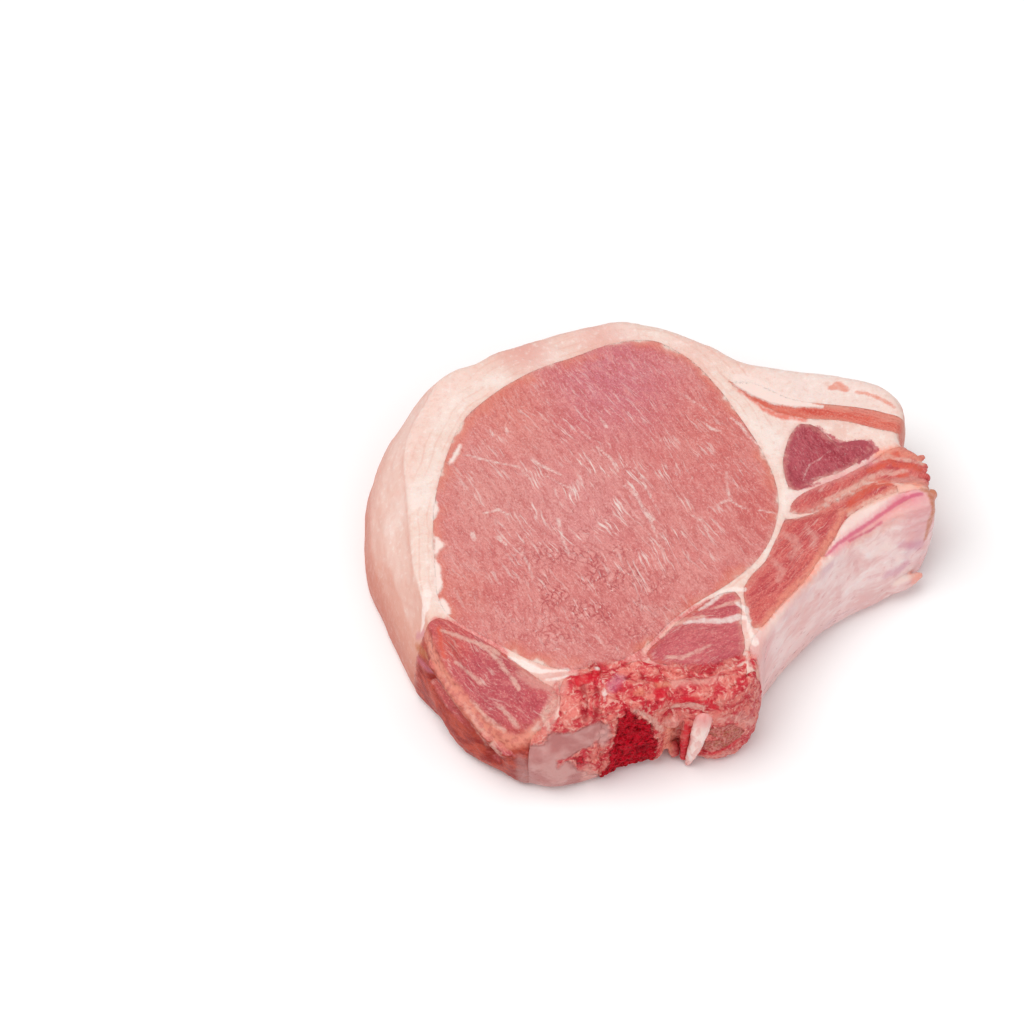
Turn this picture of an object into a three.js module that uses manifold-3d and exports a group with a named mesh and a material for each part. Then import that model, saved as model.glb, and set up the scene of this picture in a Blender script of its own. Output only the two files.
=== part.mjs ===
// A raw, bone-in pork rib chop lying on one cut face.
// One outer skin is made first; the muscles and bones are then parted from it as upright plugs,
// and the fat with its seams is what remains between them.
// Millimetres, +Z up. The origin lies on the resting face, under the middle of the chop.
import * as THREE from "three";
import { mergeVertices } from "three/addons/utils/BufferGeometryUtils.js";
import Module from "manifold-3d";

const wasm = await Module();
wasm.setup();

// Driving dimensions.
const thickness = 25; // from cut face to cut face
const seamGap = 0.3; // clearance between neighbouring pieces
const topRound = 1.5; // radius where the upper face turns into the wall
const footRound = 1.8; // radius where the wall meets the resting face
const wallBulge = 0.9; // how far the wall swells at mid height
const rimSamples = 164; // facets round the outer wall
const plugStep = 2.1; // facet length round a muscle
const overshoot = 6; // plugs run this far past both cut faces
const middle = new THREE.Vector2(0.04, 2.28); // middle of the finished chop in the outlines' own coordinates

// The upper face droops towards the free corner of the feather muscle.
const droop = { direction: new THREE.Vector2(-0.3, -0.954), from: 47.2, run: 13, depth: 12 };

// Upper edge of the wall, anticlockwise from the rib's tip: x, y, and how far the foot stands out beyond it.
const rim = [
  [62, 4.5, 0], // rib tip
  [61, 8.5, 1],
  [60.2, 12, 1],
  [59.8, 16.2, 0.5], // end of the rib meat
  [55.2, 20.6, 0], // notch under the tail
  [57.2, 27.5, 0.5], // blunt end of the tail
  [56.2, 32, 1],
  [52.5, 36, 1.5],
  [45.9, 38.4, 2],
  [38, 40.2, 2],
  [30.4, 41, 2],
  [22, 43, 2],
  [14.9, 48.2, 2.5], // back of the eye
  [8.2, 51.6, 3],
  [1.5, 53.9, 3],
  [-5.3, 55, 3],
  [-12.5, 53, 3],
  [-20, 50.8, 3.5],
  [-28.1, 47.6, 4],
  [-33.5, 45.4, 4.5],
  [-38, 42.2, 5],
  [-42.3, 40.8, 5.5],
  [-46.4, 37.8, 6], // shoulder of the back fat
  [-49.6, 31.4, 7],
  [-52.8, 24, 7.5],
  [-54, 15.5, 8.5],
  [-53, 6, 9.5],
  [-52.2, -3.5, 9],
  [-51.4, -12, 6.5],
  [-49.6, -20, 5],
  [-47.4, -28.5, 3.5],
  [-44.4, -37, 0], // ridge of the feather muscle
  [-41, -43.5, -1],
  [-37.2, -47.8, -2],
  [-33.6, -51.2, -2.6],
  [-29.8, -53.4, -2],
  [-25.2, -52.4, 0.6],
  [-19.6, -50.8, 2.6], // gristle
  [-12.6, -49.4, 1.8],
  [-5.4, -48, 1], // spongy bone
  [0.2, -46.8, 0.5],
  [3.2, -44.8, 0], // spinal canal
  [8, -45.4, 0],
  [13.4, -45.4, 1], // broken end of the backbone
  [18.4, -42.8, 1],
  [21.4, -38, 0.6],
  [22.6, -33, 0.4], // rib wall
  [24.8, -28.6, 0.8],
  [28, -23.8, 1.2],
  [31.5, -19, 1.8],
  [35, -14.4, 2.4],
  [39, -9.6, 3.6],
  [43, -5.6, 4.8],
  [47.5, -2.2, 5.6],
  [52.5, 0.6, 5.4],
  [57.6, 2.4, 3.4],
];

// Outlines of the plugs, seen from above. Points outside the rim only make sure the plug reaches the wall.
const loinEyeOutline = [
  [1.8, 48.6], [9.6, 43.8], [16, 35.2], [20.7, 26.5], [25.2, 17.2], [27.6, 8.8], [27.8, 2], [26, -5.3],
  [22.2, -11.8], [15.5, -18], [8.7, -22.6], [3, -27.4], [-1.2, -32.2], [-5.8, -35.6], [-11.9, -37.8],
  [-19.1, -38.6], [-25.3, -36.8], [-31.8, -33], [-37.5, -29.4], [-43, -25.6], [-45.6, -20.4], [-46.2, -13.3],
  [-46.8, -5.3], [-46.5, 4.5], [-44.6, 14.7], [-40.8, 25.6], [-34.4, 32.7], [-25, 39.6], [-15.7, 43.8],
  [-5.9, 48],
];
const darkMuscleOutline = [
  [34, 25.2], [37.3, 24.3], [40.3, 20.8], [42.2, 19.4], [45.8, 20.2], [49, 19.6], [49.6, 17.4], [46.1, 14.5],
  [41.9, 11.9], [37.4, 10.1], [33, 7], [31, 6.8], [29.9, 10.4], [29.7, 14.7], [30.7, 19.1], [32.1, 22.8],
];
const tailStreakOutline = [
  [18.6, 37], [22.9, 34.9], [27.7, 32.2], [33.4, 30.9], [39.6, 30], [45.9, 28.6], [52.2, 26.7], [57, 25],
  [62, 23.6], [62, 20.8], [56.5, 22.4], [52.4, 23.1], [49.6, 23.9], [43.5, 25.9], [35.6, 26.8], [31, 28],
  [26.7, 29.8], [22, 33.8],
];
const upperRibMeatOutline = [
  [30.4, 1.2], [32.1, 4.7], [36.2, 7.4], [41.9, 10.2], [47.6, 13.6], [52.3, 17.2], [56.3, 19], [62, 19.6],
  [68, 14], [66, 8.8], [60.5, 8.3], [55.9, 8.9], [51, 9.9], [47.6, 10], [43.6, 7.2], [38.8, 4.3], [34.6, 2],
];
const lowerRibMeatOutline = [
  [29.4, -0.6], [32.5, 0.1], [36.5, 1.6], [39.5, 3.6], [43.9, 6], [48.4, 8.6], [52.4, 8.7], [54.8, 7.2],
  [50.2, 5], [45.7, 2.2], [42, -1], [39.8, -5], [37, -9.4], [34.2, -13.6], [31.3, -17.8], [28.2, -21.3],
  [25.8, -24.2], [23.6, -27.4], [21.6, -29], [20, -26.6], [19.7, -22.8], [19.4, -19.2], [21.2, -15.7],
  [24.5, -11.8], [26.5, -7.3], [28.2, -3.6],
];
const lowerMuscleOutline = [
  [-1.6, -34.6], [1.2, -31.4], [4.6, -27.6], [9.4, -23.6], [14, -20.5], [17.4, -19.6], [18.6, -21.8],
  [18.6, -25], [18.4, -28.6], [19, -32.8], [18, -36], [15.6, -38.2], [11.6, -39.2], [7.2, -38.6], [3, -37.6],
  [-0.4, -36.8],
];
const featherMuscleOutline = [
  [-45.2, -26.2], [-42.2, -27.6], [-37.2, -31], [-32, -34.6], [-28, -38], [-24, -41.4], [-21, -43.8],
  [-20.4, -46.2], [-21.8, -48.4], [-25.4, -49.4], [-27.6, -56], [-34, -60], [-44, -52], [-52, -40], [-50, -30],
];
const spinalTissueOutline = [
  [-19, -41.2], [-14, -40.2], [-9.4, -38.8], [-5.4, -37.2], [-2.6, -36.6], [0.2, -38.2], [4, -39.2],
  [8, -40.1], [12, -40.6], [16, -39.6], [18.9, -37.6], [19.2, -39.2], [17.4, -41.2], [13, -42.8], [10.6, -43.6],
  [10.2, -50], [3.2, -50], [2.4, -44.8], [-1, -44.8], [-5.4, -44.4], [-11.4, -44.3], [-15, -45.4], [-18, -47],
  [-19.6, -46.4], [-19.8, -43.4],
];
const gristleOutline = [
  [-25.4, -50.8], [-21.6, -50], [-18.4, -48], [-14.4, -45.8], [-11, -45.2], [-11.4, -48], [-12.6, -56],
  [-22, -60], [-28, -57],
];
const spongyBoneOutline = [
  [-10.4, -45.2], [-5.6, -45.6], [-1.2, -45.9], [1.9, -45.2], [2.8, -52], [-4, -56], [-12, -56],
  [-11, -48.5],
];
const backboneEndOutline = [
  [10.8, -44.6], [13.4, -43.9], [17.8, -42.4], [19.8, -39.4], [26, -38], [27, -46], [16, -54], [10.6, -52],
];
const ribOutline = [
  [20.3, -35.6], [20.6, -31.8], [22.9, -28.4], [25.2, -25.2], [27.7, -22.1], [30.8, -18.5], [33.7, -14.3],
  [36.6, -10.2], [39.3, -5.8], [41.6, -1.7], [45.4, 1.5], [50, 4.3], [54.8, 6.3], [58, 7], [60.4, 7.2],
  [70, 8], [68, -6], [52, -14], [36, -28], [28, -40],
];

function topHeight(x, y) {
  const reach = droop.direction.x * x + droop.direction.y * y - droop.from;
  return thickness - droop.depth * Math.max(0, reach / droop.run) ** 2;
}

// Points of a closed spline in the XY plane, about `step` apart.
function closedLoop(points, step) {
  const curve = new THREE.CatmullRomCurve3(points.map(([x, y, z = 0]) => new THREE.Vector3(x, y, z)), true, "centripetal");
  return curve.getSpacedPoints(Math.round(curve.getLength() / step)).slice(0, -1);
}

// Unit outward normals of an anticlockwise loop, in plan.
function outwardNormals(loop) {
  return loop.map((_, i) => {
    const before = loop[(i + loop.length - 1) % loop.length];
    const after = loop[(i + 1) % loop.length];
    return new THREE.Vector2(after.y - before.y, before.x - after.x).normalize();
  });
}

function loopArea(loop) {
  return loop.reduce((sum, p, i) => {
    const next = loop[(i + 1) % loop.length];
    return sum + (p.x * next.y - next.x * p.y) / 2;
  }, 0);
}

function toSolid(geometry) {
  const plain = geometry.clone();
  for (const name of ["normal", "uv"]) plain.deleteAttribute(name);
  const merged = mergeVertices(plain, 1e-4);
  return new wasm.Manifold(
    new wasm.Mesh({
      numProp: 3,
      vertProperties: merged.attributes.position.array,
      triVerts: new Uint32Array(merged.index.array),
    }),
  );
}

function toGeometry(solid) {
  const made = solid.getMesh();
  const geometry = new THREE.BufferGeometry()
    .setAttribute("position", new THREE.BufferAttribute(new Float32Array(made.vertProperties), made.numProp))
    .setIndex(new THREE.BufferAttribute(made.triVerts, 1));
  geometry.computeVertexNormals();
  return geometry.translate(-middle.x, -middle.y, 0);
}

// The whole chop's outer skin: rings from the middle of the upper face, over the edge, down the wall
// and back to the middle of the resting face.
function chopSkin(grow = 0) {
  const curve = new THREE.CatmullRomCurve3(rim.map((p) => new THREE.Vector3(...p)), true, "centripetal");
  const loop = curve.getSpacedPoints(rimSamples).slice(0, -1);
  const normals = outwardNormals(loop);
  loop.forEach((p, i) => p.set(p.x + normals[i].x * grow, p.y + normals[i].y * grow, p.z));
  const rings = [];
  const insetRing = (inset, z) =>
    rings.push(loop.map((p, i) => {
      const [x, y] = [p.x - normals[i].x * inset, p.y - normals[i].y * inset];
      return [x, y, z(topHeight(p.x, p.y), x, y)];
    }));
  const scaledRing = (share, inset, z) =>
    rings.push(loop.map((p, i) => {
      const [x, y] = [(p.x - normals[i].x * inset) * share, (p.y - normals[i].y * inset) * share];
      return [x, y, z(x, y)];
    }));
  for (const share of [0.12, 0.36, 0.58, 0.74, 0.86, 0.94]) scaledRing(share, topRound, topHeight);
  insetRing(topRound, (_, x, y) => topHeight(x, y));
  insetRing(topRound * 0.3, (top) => top - topRound * 0.3);
  insetRing(0, (top) => top - topRound);
  for (const drop of [0.3, 0.55, 0.8]) {
    const swell = wallBulge * Math.sin(Math.PI * drop);
    rings.push(loop.map((p, i) => {
      const out = p.z * Math.sin((drop * Math.PI) / 2) + swell;
      return [p.x + normals[i].x * out, p.y + normals[i].y * out, (topHeight(p.x, p.y) - topRound) * (1 - drop) + footRound * drop];
    }));
  }
  rings.push(loop.map((p, i) => [p.x + normals[i].x * p.z, p.y + normals[i].y * p.z, footRound]));
  rings.push(loop.map((p, i) => {
    const out = p.z - footRound;
    return [p.x + normals[i].x * out, p.y + normals[i].y * out, 0];
  }));
  for (const share of [0.7, 0.3]) rings.push(rings.at(-1).map(([x, y]) => [x * share, y * share, 0]));

  const positions = [0, 0, topHeight(0, 0), ...rings.flat(2), 0, 0, 0];
  const around = loop.length;
  const last = rings.length * around + 1;
  const index = [];
  for (let i = 0; i < around; i++) {
    const next = (i + 1) % around;
    index.push(0, 1 + i, 1 + next);
    for (let r = 0; r + 1 < rings.length; r++) {
      const [a, b, c, d] = [r * around + i, r * around + next, (r + 1) * around + i, (r + 1) * around + next].map((k) => k + 1);
      index.push(a, c, d, a, d, b);
    }
    index.push(last, last - around + next, last - around + i);
  }
  return toSolid(new THREE.BufferGeometry()
    .setAttribute("position", new THREE.BufferAttribute(new Float32Array(positions), 3))
    .setIndex(index));
}

// An upright plug of the given outline, grown sideways by `grow`.
function plug(outline, grow = 0) {
  let loop = closedLoop(outline, plugStep);
  if (loopArea(loop) < 0) loop = loop.reverse();
  const normals = outwardNormals(loop);
  const shape = new THREE.Shape(loop.map((p, i) => new THREE.Vector2(p.x, p.y).addScaledVector(normals[i], grow)));
  const geometry = new THREE.ExtrudeGeometry(shape, {
    depth: thickness + 2 * overshoot,
    steps: 1,
    bevelEnabled: false,
  });
  return toSolid(geometry.translate(0, 0, -overshoot));
}

// A tapering strip that hangs down the wall in front of the spinal canal.
function nerveStrip() {
  const path = new THREE.CatmullRomCurve3([
    new THREE.Vector3(10.4, -46.4, 19.6),
    new THREE.Vector3(9.8, -47.3, 15.4),
    new THREE.Vector3(9, -47.8, 9.4),
    new THREE.Vector3(8.2, -47.5, 2.6),
  ]);
  const halfWidths = [1.3, 1.9, 1.5, 0.6];
  const steps = 14;
  const sides = 12;
  const positions = [];
  const index = [];
  for (let k = 0; k <= steps; k++) {
    const centre = path.getPointAt(k / steps);
    const place = (k / steps) * (halfWidths.length - 1);
    const low = Math.min(halfWidths.length - 2, Math.floor(place));
    const half = THREE.MathUtils.lerp(halfWidths[low], halfWidths[low + 1], place - low);
    for (let s = 0; s < sides; s++) {
      const turn = (2 * Math.PI * s) / sides;
      positions.push(centre.x + half * Math.cos(turn), centre.y + half * 0.72 * Math.sin(turn), centre.z);
    }
  }
  for (let k = 0; k < steps; k++)
    for (let s = 0; s < sides; s++) {
      const next = (s + 1) % sides;
      const [a, b] = [k * sides + s, k * sides + next];
      index.push(a, a + sides, b + sides, a, b + sides, b);
    }
  const ends = [path.getPointAt(0), path.getPointAt(1)];
  const tip = positions.length / 3;
  positions.push(ends[0].x, ends[0].y, ends[0].z + 0.8, ends[1].x, ends[1].y, ends[1].z - 0.8);
  for (let s = 0; s < sides; s++) {
    const next = (s + 1) % sides;
    index.push(tip, s, next, tip + 1, steps * sides + next, steps * sides + s);
  }
  return toSolid(new THREE.BufferGeometry()
    .setAttribute("position", new THREE.BufferAttribute(new Float32Array(positions), 3))
    .setIndex(index));
}

// Colours are the pieces' own, as seen in even light.
const finishes = {
  loin: { color: 0xd78785, roughness: 0.42 },
  darkLoin: { color: 0xbb656d, roughness: 0.42 },
  ribMeat: { color: 0xd06a68, roughness: 0.4 },
  fat: { color: 0xf0d9d0, roughness: 0.5 },
  tissue: { color: 0xd66565, roughness: 0.35 },
  gristle: { color: 0xc58a86, roughness: 0.28 },
  marrow: { color: 0x9a1a26, roughness: 0.4 },
  boneEnd: { color: 0xb4585a, roughness: 0.5 },
  membrane: { color: 0xe2b8b6, roughness: 0.3 },
  nerve: { color: 0xe2b8ae, roughness: 0.3 },
};

function piece(name, solid, finish) {
  const material = new THREE.MeshStandardMaterial({ ...finishes[finish], metalness: 0 });
  const mesh = new THREE.Mesh(toGeometry(solid), material);
  mesh.name = name;
  return mesh;
}

const plugs = [
  ["loin_eye", loinEyeOutline, "loin"],
  ["dark_side_muscle", darkMuscleOutline, "darkLoin"],
  ["tail_streak", tailStreakOutline, "ribMeat"],
  ["upper_rib_meat", upperRibMeatOutline, "ribMeat"],
  ["lower_rib_meat", lowerRibMeatOutline, "ribMeat"],
  ["lower_muscle", lowerMuscleOutline, "darkLoin"],
  ["feather_muscle", featherMuscleOutline, "darkLoin"],
  ["spinal_tissue", spinalTissueOutline, "tissue"],
  ["gristle", gristleOutline, "gristle"],
  ["spongy_bone", spongyBoneOutline, "marrow"],
  ["backbone_end", backboneEndOutline, "boneEnd"],
  ["rib_bone", ribOutline, "membrane"],
];

// The largest part of a cut, in case a plug clips a sliver elsewhere on the wall.
function mainBody(solid) {
  return solid.decompose().reduce((best, body) => (body.volume() > best.volume() ? body : best));
}

function porkChop() {
  const chop = new THREE.Group();
  let rest = chopSkin();
  for (const [name, outline, finish] of plugs) {
    chop.add(piece(name, mainBody(rest.intersect(plug(outline))), finish));
    rest = rest.subtract(plug(outline, seamGap));
  }
  chop.add(piece("back_fat", mainBody(rest), "fat"));
  chop.add(piece("nerve_strip", mainBody(nerveStrip().subtract(chopSkin(seamGap))), "nerve"));
  return chop;
}

export default porkChop();
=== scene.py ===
import math

import bpy
import numpy as np
from mathutils import Matrix, Vector
from mathutils.bvhtree import BVHTree


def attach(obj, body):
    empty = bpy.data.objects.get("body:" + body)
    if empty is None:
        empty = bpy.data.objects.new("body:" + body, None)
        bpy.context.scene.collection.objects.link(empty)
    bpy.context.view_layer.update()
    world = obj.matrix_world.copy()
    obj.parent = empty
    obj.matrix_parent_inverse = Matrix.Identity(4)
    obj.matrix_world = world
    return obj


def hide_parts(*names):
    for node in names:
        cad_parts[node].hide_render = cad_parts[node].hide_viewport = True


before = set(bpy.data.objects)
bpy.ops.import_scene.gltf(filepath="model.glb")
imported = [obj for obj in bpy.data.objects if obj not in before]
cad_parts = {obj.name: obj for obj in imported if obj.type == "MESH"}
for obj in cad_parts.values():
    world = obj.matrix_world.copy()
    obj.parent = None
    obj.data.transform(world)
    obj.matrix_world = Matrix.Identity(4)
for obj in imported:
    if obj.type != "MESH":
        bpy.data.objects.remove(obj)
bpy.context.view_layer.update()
mm = 0.001
bodyLook = {
    "voxel": 0.5,  # mm, facet size of the cut faces
    "grow": 0.2,  # mm, closes the hairline gaps between neighbouring pieces
    "slowSwell": (24, 1.1),  # size and height of the broad unevenness, mm
    "smallSwell": (6.5, 0.42),
    "pucker": (2.2, 0.16),
    "smoothing": 6,  # rounds
    "closing": 0.34,  # mm, how far the rough pieces swell towards their neighbours
    "roughFacet": 1,  # times the facet size of each rough piece
    "top": 25.0,
    "smoothAngle": 48,  # degrees
}
farAway = 9.0  # mm, where a stroke or a seam no longer counts


def onlySelect(*pieces):
    bpy.ops.object.select_all(action="DESELECT")
    for piece in pieces:
        piece.select_set(True)
    bpy.context.view_layer.objects.active = pieces[0]


def applyModifier(piece, kind, **settings):
    onlySelect(piece)
    modifier = piece.modifiers.new(kind.lower(), kind)
    for key, value in settings.items():
        setattr(modifier, key, value)
    bpy.ops.object.modifier_apply(modifier=modifier.name)


def combine(piece, other, operation):
    applyModifier(piece, "BOOLEAN", object=other, operation=operation, solver="MANIFOLD")


def twinOf(piece, name):
    twin = bpy.data.objects.new(name, piece.data.copy())
    bpy.context.scene.collection.objects.link(twin)
    return twin


def editAll(piece):
    onlySelect(piece)
    bpy.ops.object.mode_set(mode="EDIT")
    bpy.ops.mesh.select_all(action="SELECT")


def nodeTwin(node, name, grow=0):
    # a merged copy of a solid, grown by so many mm
    twin = twinOf(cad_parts[node], name)
    twin.data.materials.clear()
    editAll(twin)
    bpy.ops.mesh.remove_doubles(threshold=0.00001)
    bpy.ops.object.mode_set(mode="OBJECT")
    if grow:
        applyModifier(twin, "DISPLACE", strength=grow * mm, mid_level=0)
    return twin


def readPoints(piece, what="co"):
    values = np.empty(len(piece.data.vertices) * 3, np.float32)
    piece.data.vertices.foreach_get(what, values)
    return values.reshape(-1, 3).astype(float)


def writePoints(piece, points):
    piece.data.vertices.foreach_set("co", points.astype(np.float32).ravel())
    piece.data.update()


def swell(piece, kind, size, height, group="", **settings):
    # a displacement along the surface, both ways, from a cloudy or cellular texture
    texture = bpy.data.textures.new("relief", kind)
    texture.noise_scale = size * mm
    for key, value in settings.items():
        setattr(texture, key, value)
    applyModifier(
        piece, "DISPLACE", texture=texture, strength=height * mm, mid_level=0.5,
        texture_coords="LOCAL", vertex_group=group,
    )
    bpy.data.textures.remove(texture)


def setGroup(piece, name, weights, steps=16):
    group = piece.vertex_groups.new(name=name)
    level = np.round(np.clip(weights, 0, 1) * steps).astype(int)
    for step in range(1, steps + 1):
        chosen = np.nonzero(level == step)[0].tolist()
        if chosen:
            group.add(chosen, step / steps, "REPLACE")


# the upper face droops towards the free corner of the feather muscle
droop = {"direction": (-0.3, -0.954), "from": 45.0, "run": 13.0, "depth": 12.0}


def topAt(x, y):
    reach = droop["direction"][0] * x + droop["direction"][1] * y - droop["from"]
    return bodyLook["top"] - droop["depth"] * np.clip(reach / droop["run"], 0, None) ** 2


# a stroke is a list of (x, y, half width) on the upper face, or of (x, y, z, half width) on a wall, in mm
def strokeDistance(points, stroke, spread=3.0):
    # distance in mm to the stroke's edge, less than zero inside it
    stroke = np.array(stroke, float)
    if len(stroke) == 1:
        stroke = np.vstack([stroke, stroke + 0.001])
    width = stroke[:, -1]
    line = stroke[:, :-1]
    axes = line.shape[1]
    edge = width.max() + spread
    best = np.full(len(points), farAway)
    place = points / mm
    inside = (place[:, :axes] > line.min(0) - edge) & (place[:, :axes] < line.max(0) + edge)
    near = np.nonzero(inside.all(axis=1))[0]
    place = place[near]
    for k in range(len(line) - 1):
        run = line[k + 1] - line[k]
        offset = place[:, :axes] - line[k]
        along = np.clip(offset @ run / (run @ run), 0, 1)
        away = np.linalg.norm(offset - along[:, None] * run, axis=1)
        if axes == 2:
            under = np.clip(topAt(place[:, 0], place[:, 1]) - place[:, 2] - 2, 0, None)
            away = np.hypot(away, under)
        best[near] = np.minimum(best[near], away - (width[k] + along * (width[k + 1] - width[k])))
    return best


def setLayer(piece, name, values):
    layer = piece.data.attributes.get(name) or piece.data.attributes.new(name, "FLOAT", "POINT")
    layer.data.foreach_set("value", values.astype(np.float32))


def surfaceOf(nodes):
    points, faces = [], []
    for node in nodes:
        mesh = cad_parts[node].data
        first = len(points)
        points += [vertex.co.copy() for vertex in mesh.vertices]
        faces += [[first + v for v in polygon.vertices] for polygon in mesh.polygons]
    return BVHTree.FromPolygons(points, faces)


def distanceTo(tree, points):
    reach = farAway * mm
    return np.array([(tree.find_nearest(Vector(p), reach)[3] or reach) / mm for p in points])


print("stage: one skin over the whole chop")
allNodes = sorted(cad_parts)
meatNodes = [node for node in allNodes if node not in ("back_fat", "nerve_strip")]
body = nodeTwin("back_fat", "chop_body", bodyLook["grow"])
for node in meatNodes:
    part = nodeTwin(node, "part", bodyLook["grow"])
    combine(body, part, "UNION")
    bpy.data.objects.remove(part)
applyModifier(body, "REMESH", mode="VOXEL", voxel_size=bodyLook["voxel"] * mm, use_smooth_shade=True)
applyModifier(body, "SMOOTH", factor=0.5, iterations=bodyLook["smoothing"])
print("body facets", len(body.data.polygons))

print("stage: relief of the cut faces and walls")
swell(body, "CLOUDS", *bodyLook["slowSwell"])
swell(body, "CLOUDS", *bodyLook["smallSwell"], noise_depth=2)
swell(body, "CLOUDS", *bodyLook["pucker"])

# the muscle side under the ridge is lumpy, the broken bones are rough: size and height of the swellings, mm
lowSide = {
    "lumps": (5.5, 1.5),
    "roughBone": (2.6, 1.1),
}
points = readPoints(body)
normals = readPoints(body, "normal")
wall = np.clip(1.2 - np.abs(normals[:, 2]) * 1.6, 0, 1)
x, y = (points / mm).T[:2]
boneSpan = np.clip((x + 14) / 4, 0, 1) * np.clip((24 - x) / 3, 0, 1)
setGroup(body, "lumpySide", wall * np.clip((-30 - y) / 6, 0, 1) * np.clip((-21 - x) / 5, 0, 1))
setGroup(body, "roughBone", np.clip((-44.5 - y) / 4, 0, 1) * boneSpan)
swell(body, "CLOUDS", *lowSide["lumps"], group="lumpySide", noise_depth=2)
swell(body, "CLOUDS", *lowSide["roughBone"], group="roughBone", noise_depth=3)

# hollows and raised lines, along strokes: depth in mm, then the stroke
carving = {
    "ridgeCrest": (-0.6, [
        (-46.5, -31, 0.5), (-43.2, -38.5, 0.9), (-39.2, -45, 1), (-35.2, -49.8, 1), (-31, -53, 0.8),
    ]),
    "ridgeTrough": (0.6, [(-41.5, -35.5, 0.4), (-38.5, -41, 0.7), (-34.5, -46.5, 0.5)]),
    "ribCrease": (0.9, [
        (37.5, -12.1, 0.1), (40.4, -8.8, 0.4), (44.1, -5.9, 0.5), (51.1, -0.5, 0.5), (56, 3.2, 0.4),
    ]),
    "meatFold": (0.8, [
        (30.2, -2.4, 0.2), (37.8, -0.5, 0.4), (42.6, 1.5, 0.4), (48, 6.8, 0.4), (53, 8.4, 0.5),
        (60, 8.2, 0.6),
    ]),
    "wedgeFold": (0.7, [
        (38.4, 2.4, 0.2), (44.9, 6, 0.3), (51, 9.9, 0.5), (56.6, 10.4, 0.6), (61, 9.6, 0.5),
    ]),
    "tipFold": (0.9, [(49, 11.6, 0.2), (53, 13.7, 0.5), (58, 13.2, 0.5), (61, 12, 0.8)]),
    "wedgeSeam": (0.45, [(-32.5, -36.9, 0.2), (-27.9, -39.6, 0.5), (-24, -41.8, 0.6), (-18, -41.6, 0.3)]),
    "darkDip": (0.5, [(33, 9, 1.5), (42, 13, 1.5)]),
    "eyeEndDip": (1.0, [
        (-12, -41, 0.8), (-5.5, -41.6, 0.9), (-1.5, -42.2, 0.9), (5, -42.4, 0.5), (12, -41.8, 0.4),
    ]),
    "lowerMuscleSeam": (0.5, [(-2, -37, 0.4), (4, -30.5, 0.4), (8.5, -27, 0.4), (14, -24.4, 0.4)]),
    "lowerStrips": (0.35, [(6.5, -30, 0.2), (13.3, -30.2, 0.3), (18, -29.4, 0.3)]),
}
for depth, stroke in carving.values():
    away = strokeDistance(points, stroke)
    points[:, 2] -= depth * mm * np.exp(-np.clip(away, 0, None) ** 2 / 0.8) * np.clip(normals[:, 2], 0, 1)

# swellings and hollows of the walls: height out of the wall, softness, then the stroke
wallRelief = {
    "sideValley": (-1.9, 1.5, [
        (-46.3, -37.7, 15.5, 0.2), (-44.8, -40.2, 15, 0.3), (-41.7, -45.1, 15, 0.5),
        (-38.3, -48.8, 14.5, 0.8), (-36, -51, 12.5, 1), (-33.5, -52.8, 9, 0.8),
    ]),
    "ridgeLip": (0.9, 0.8, [
        (-46.2, -36.9, 20, 0.2), (-43.8, -41.1, 21.4, 0.3), (-41.1, -45.5, 21, 0.4),
        (-38.1, -49, 19, 0.4), (-35.2, -52.1, 16, 0.4), (-32.3, -54.4, 14, 0.4),
    ]),
    "sideBulge": (1.0, 3.0, [(-45, -41, 8, 0.5), (-41.5, -46, 5, 0.8), (-36, -51.5, 3.5, 0.8)]),
    "gristleBulge": (0.9, 3.2, [(-23.5, -55.3, 12, 1), (-22, -55.6, 6, 1)]),
    "marrowHollow": (-0.9, 1.4, [(-5, -50.5, 16, 2.5), (-4.5, -51, 9, 3.5), (-5, -51, 4, 3.5)]),
    "footHollow": (-2.8, 1.3, [(-1, -50, 0.2, 0.5), (3.2, -48, 0.5, 1.5), (6, -48, 0.2, 0.8)]),
    "canalHollow": (-1.2, 1.0, [(5, -47.6, 14, 0.8), (5.4, -47.8, 7, 0.8)]),
}
for height, soft, stroke in wallRelief.values():
    away = np.clip(strokeDistance(points, stroke, spread=farAway), 0, None)
    points += (height * mm * np.exp(-((away / soft) ** 2)) * (away < farAway))[:, None] * normals
points[:, 2] = np.maximum(points[:, 2], 0)
writePoints(body, points)
fatTree = surfaceOf(["back_fat"])

print("stage: parting the muscles and bones")
# reach is the way a piece runs out through the wall, so its cutter is drawn out that way
cuts = {
    "loin_eye": None,
    "dark_side_muscle": None,
    "lower_muscle": None,
    "lower_rib_meat": None,
    "tail_streak": (1, 0),
    "upper_rib_meat": (1, 0.1),
    "gristle": (-0.2, -1),
    "spongy_bone": (0, -1),
    "backbone_end": (0.5, -0.85),
    "feather_muscle": (-0.75, -0.66),
    "rib_bone": (0.7, -0.7),
    "spinal_tissue": (0, -1),
}
cutting = {"grow": 0.17, "past": 6, "steps": (1.3, 2.6, 3.9)}  # mm


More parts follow.
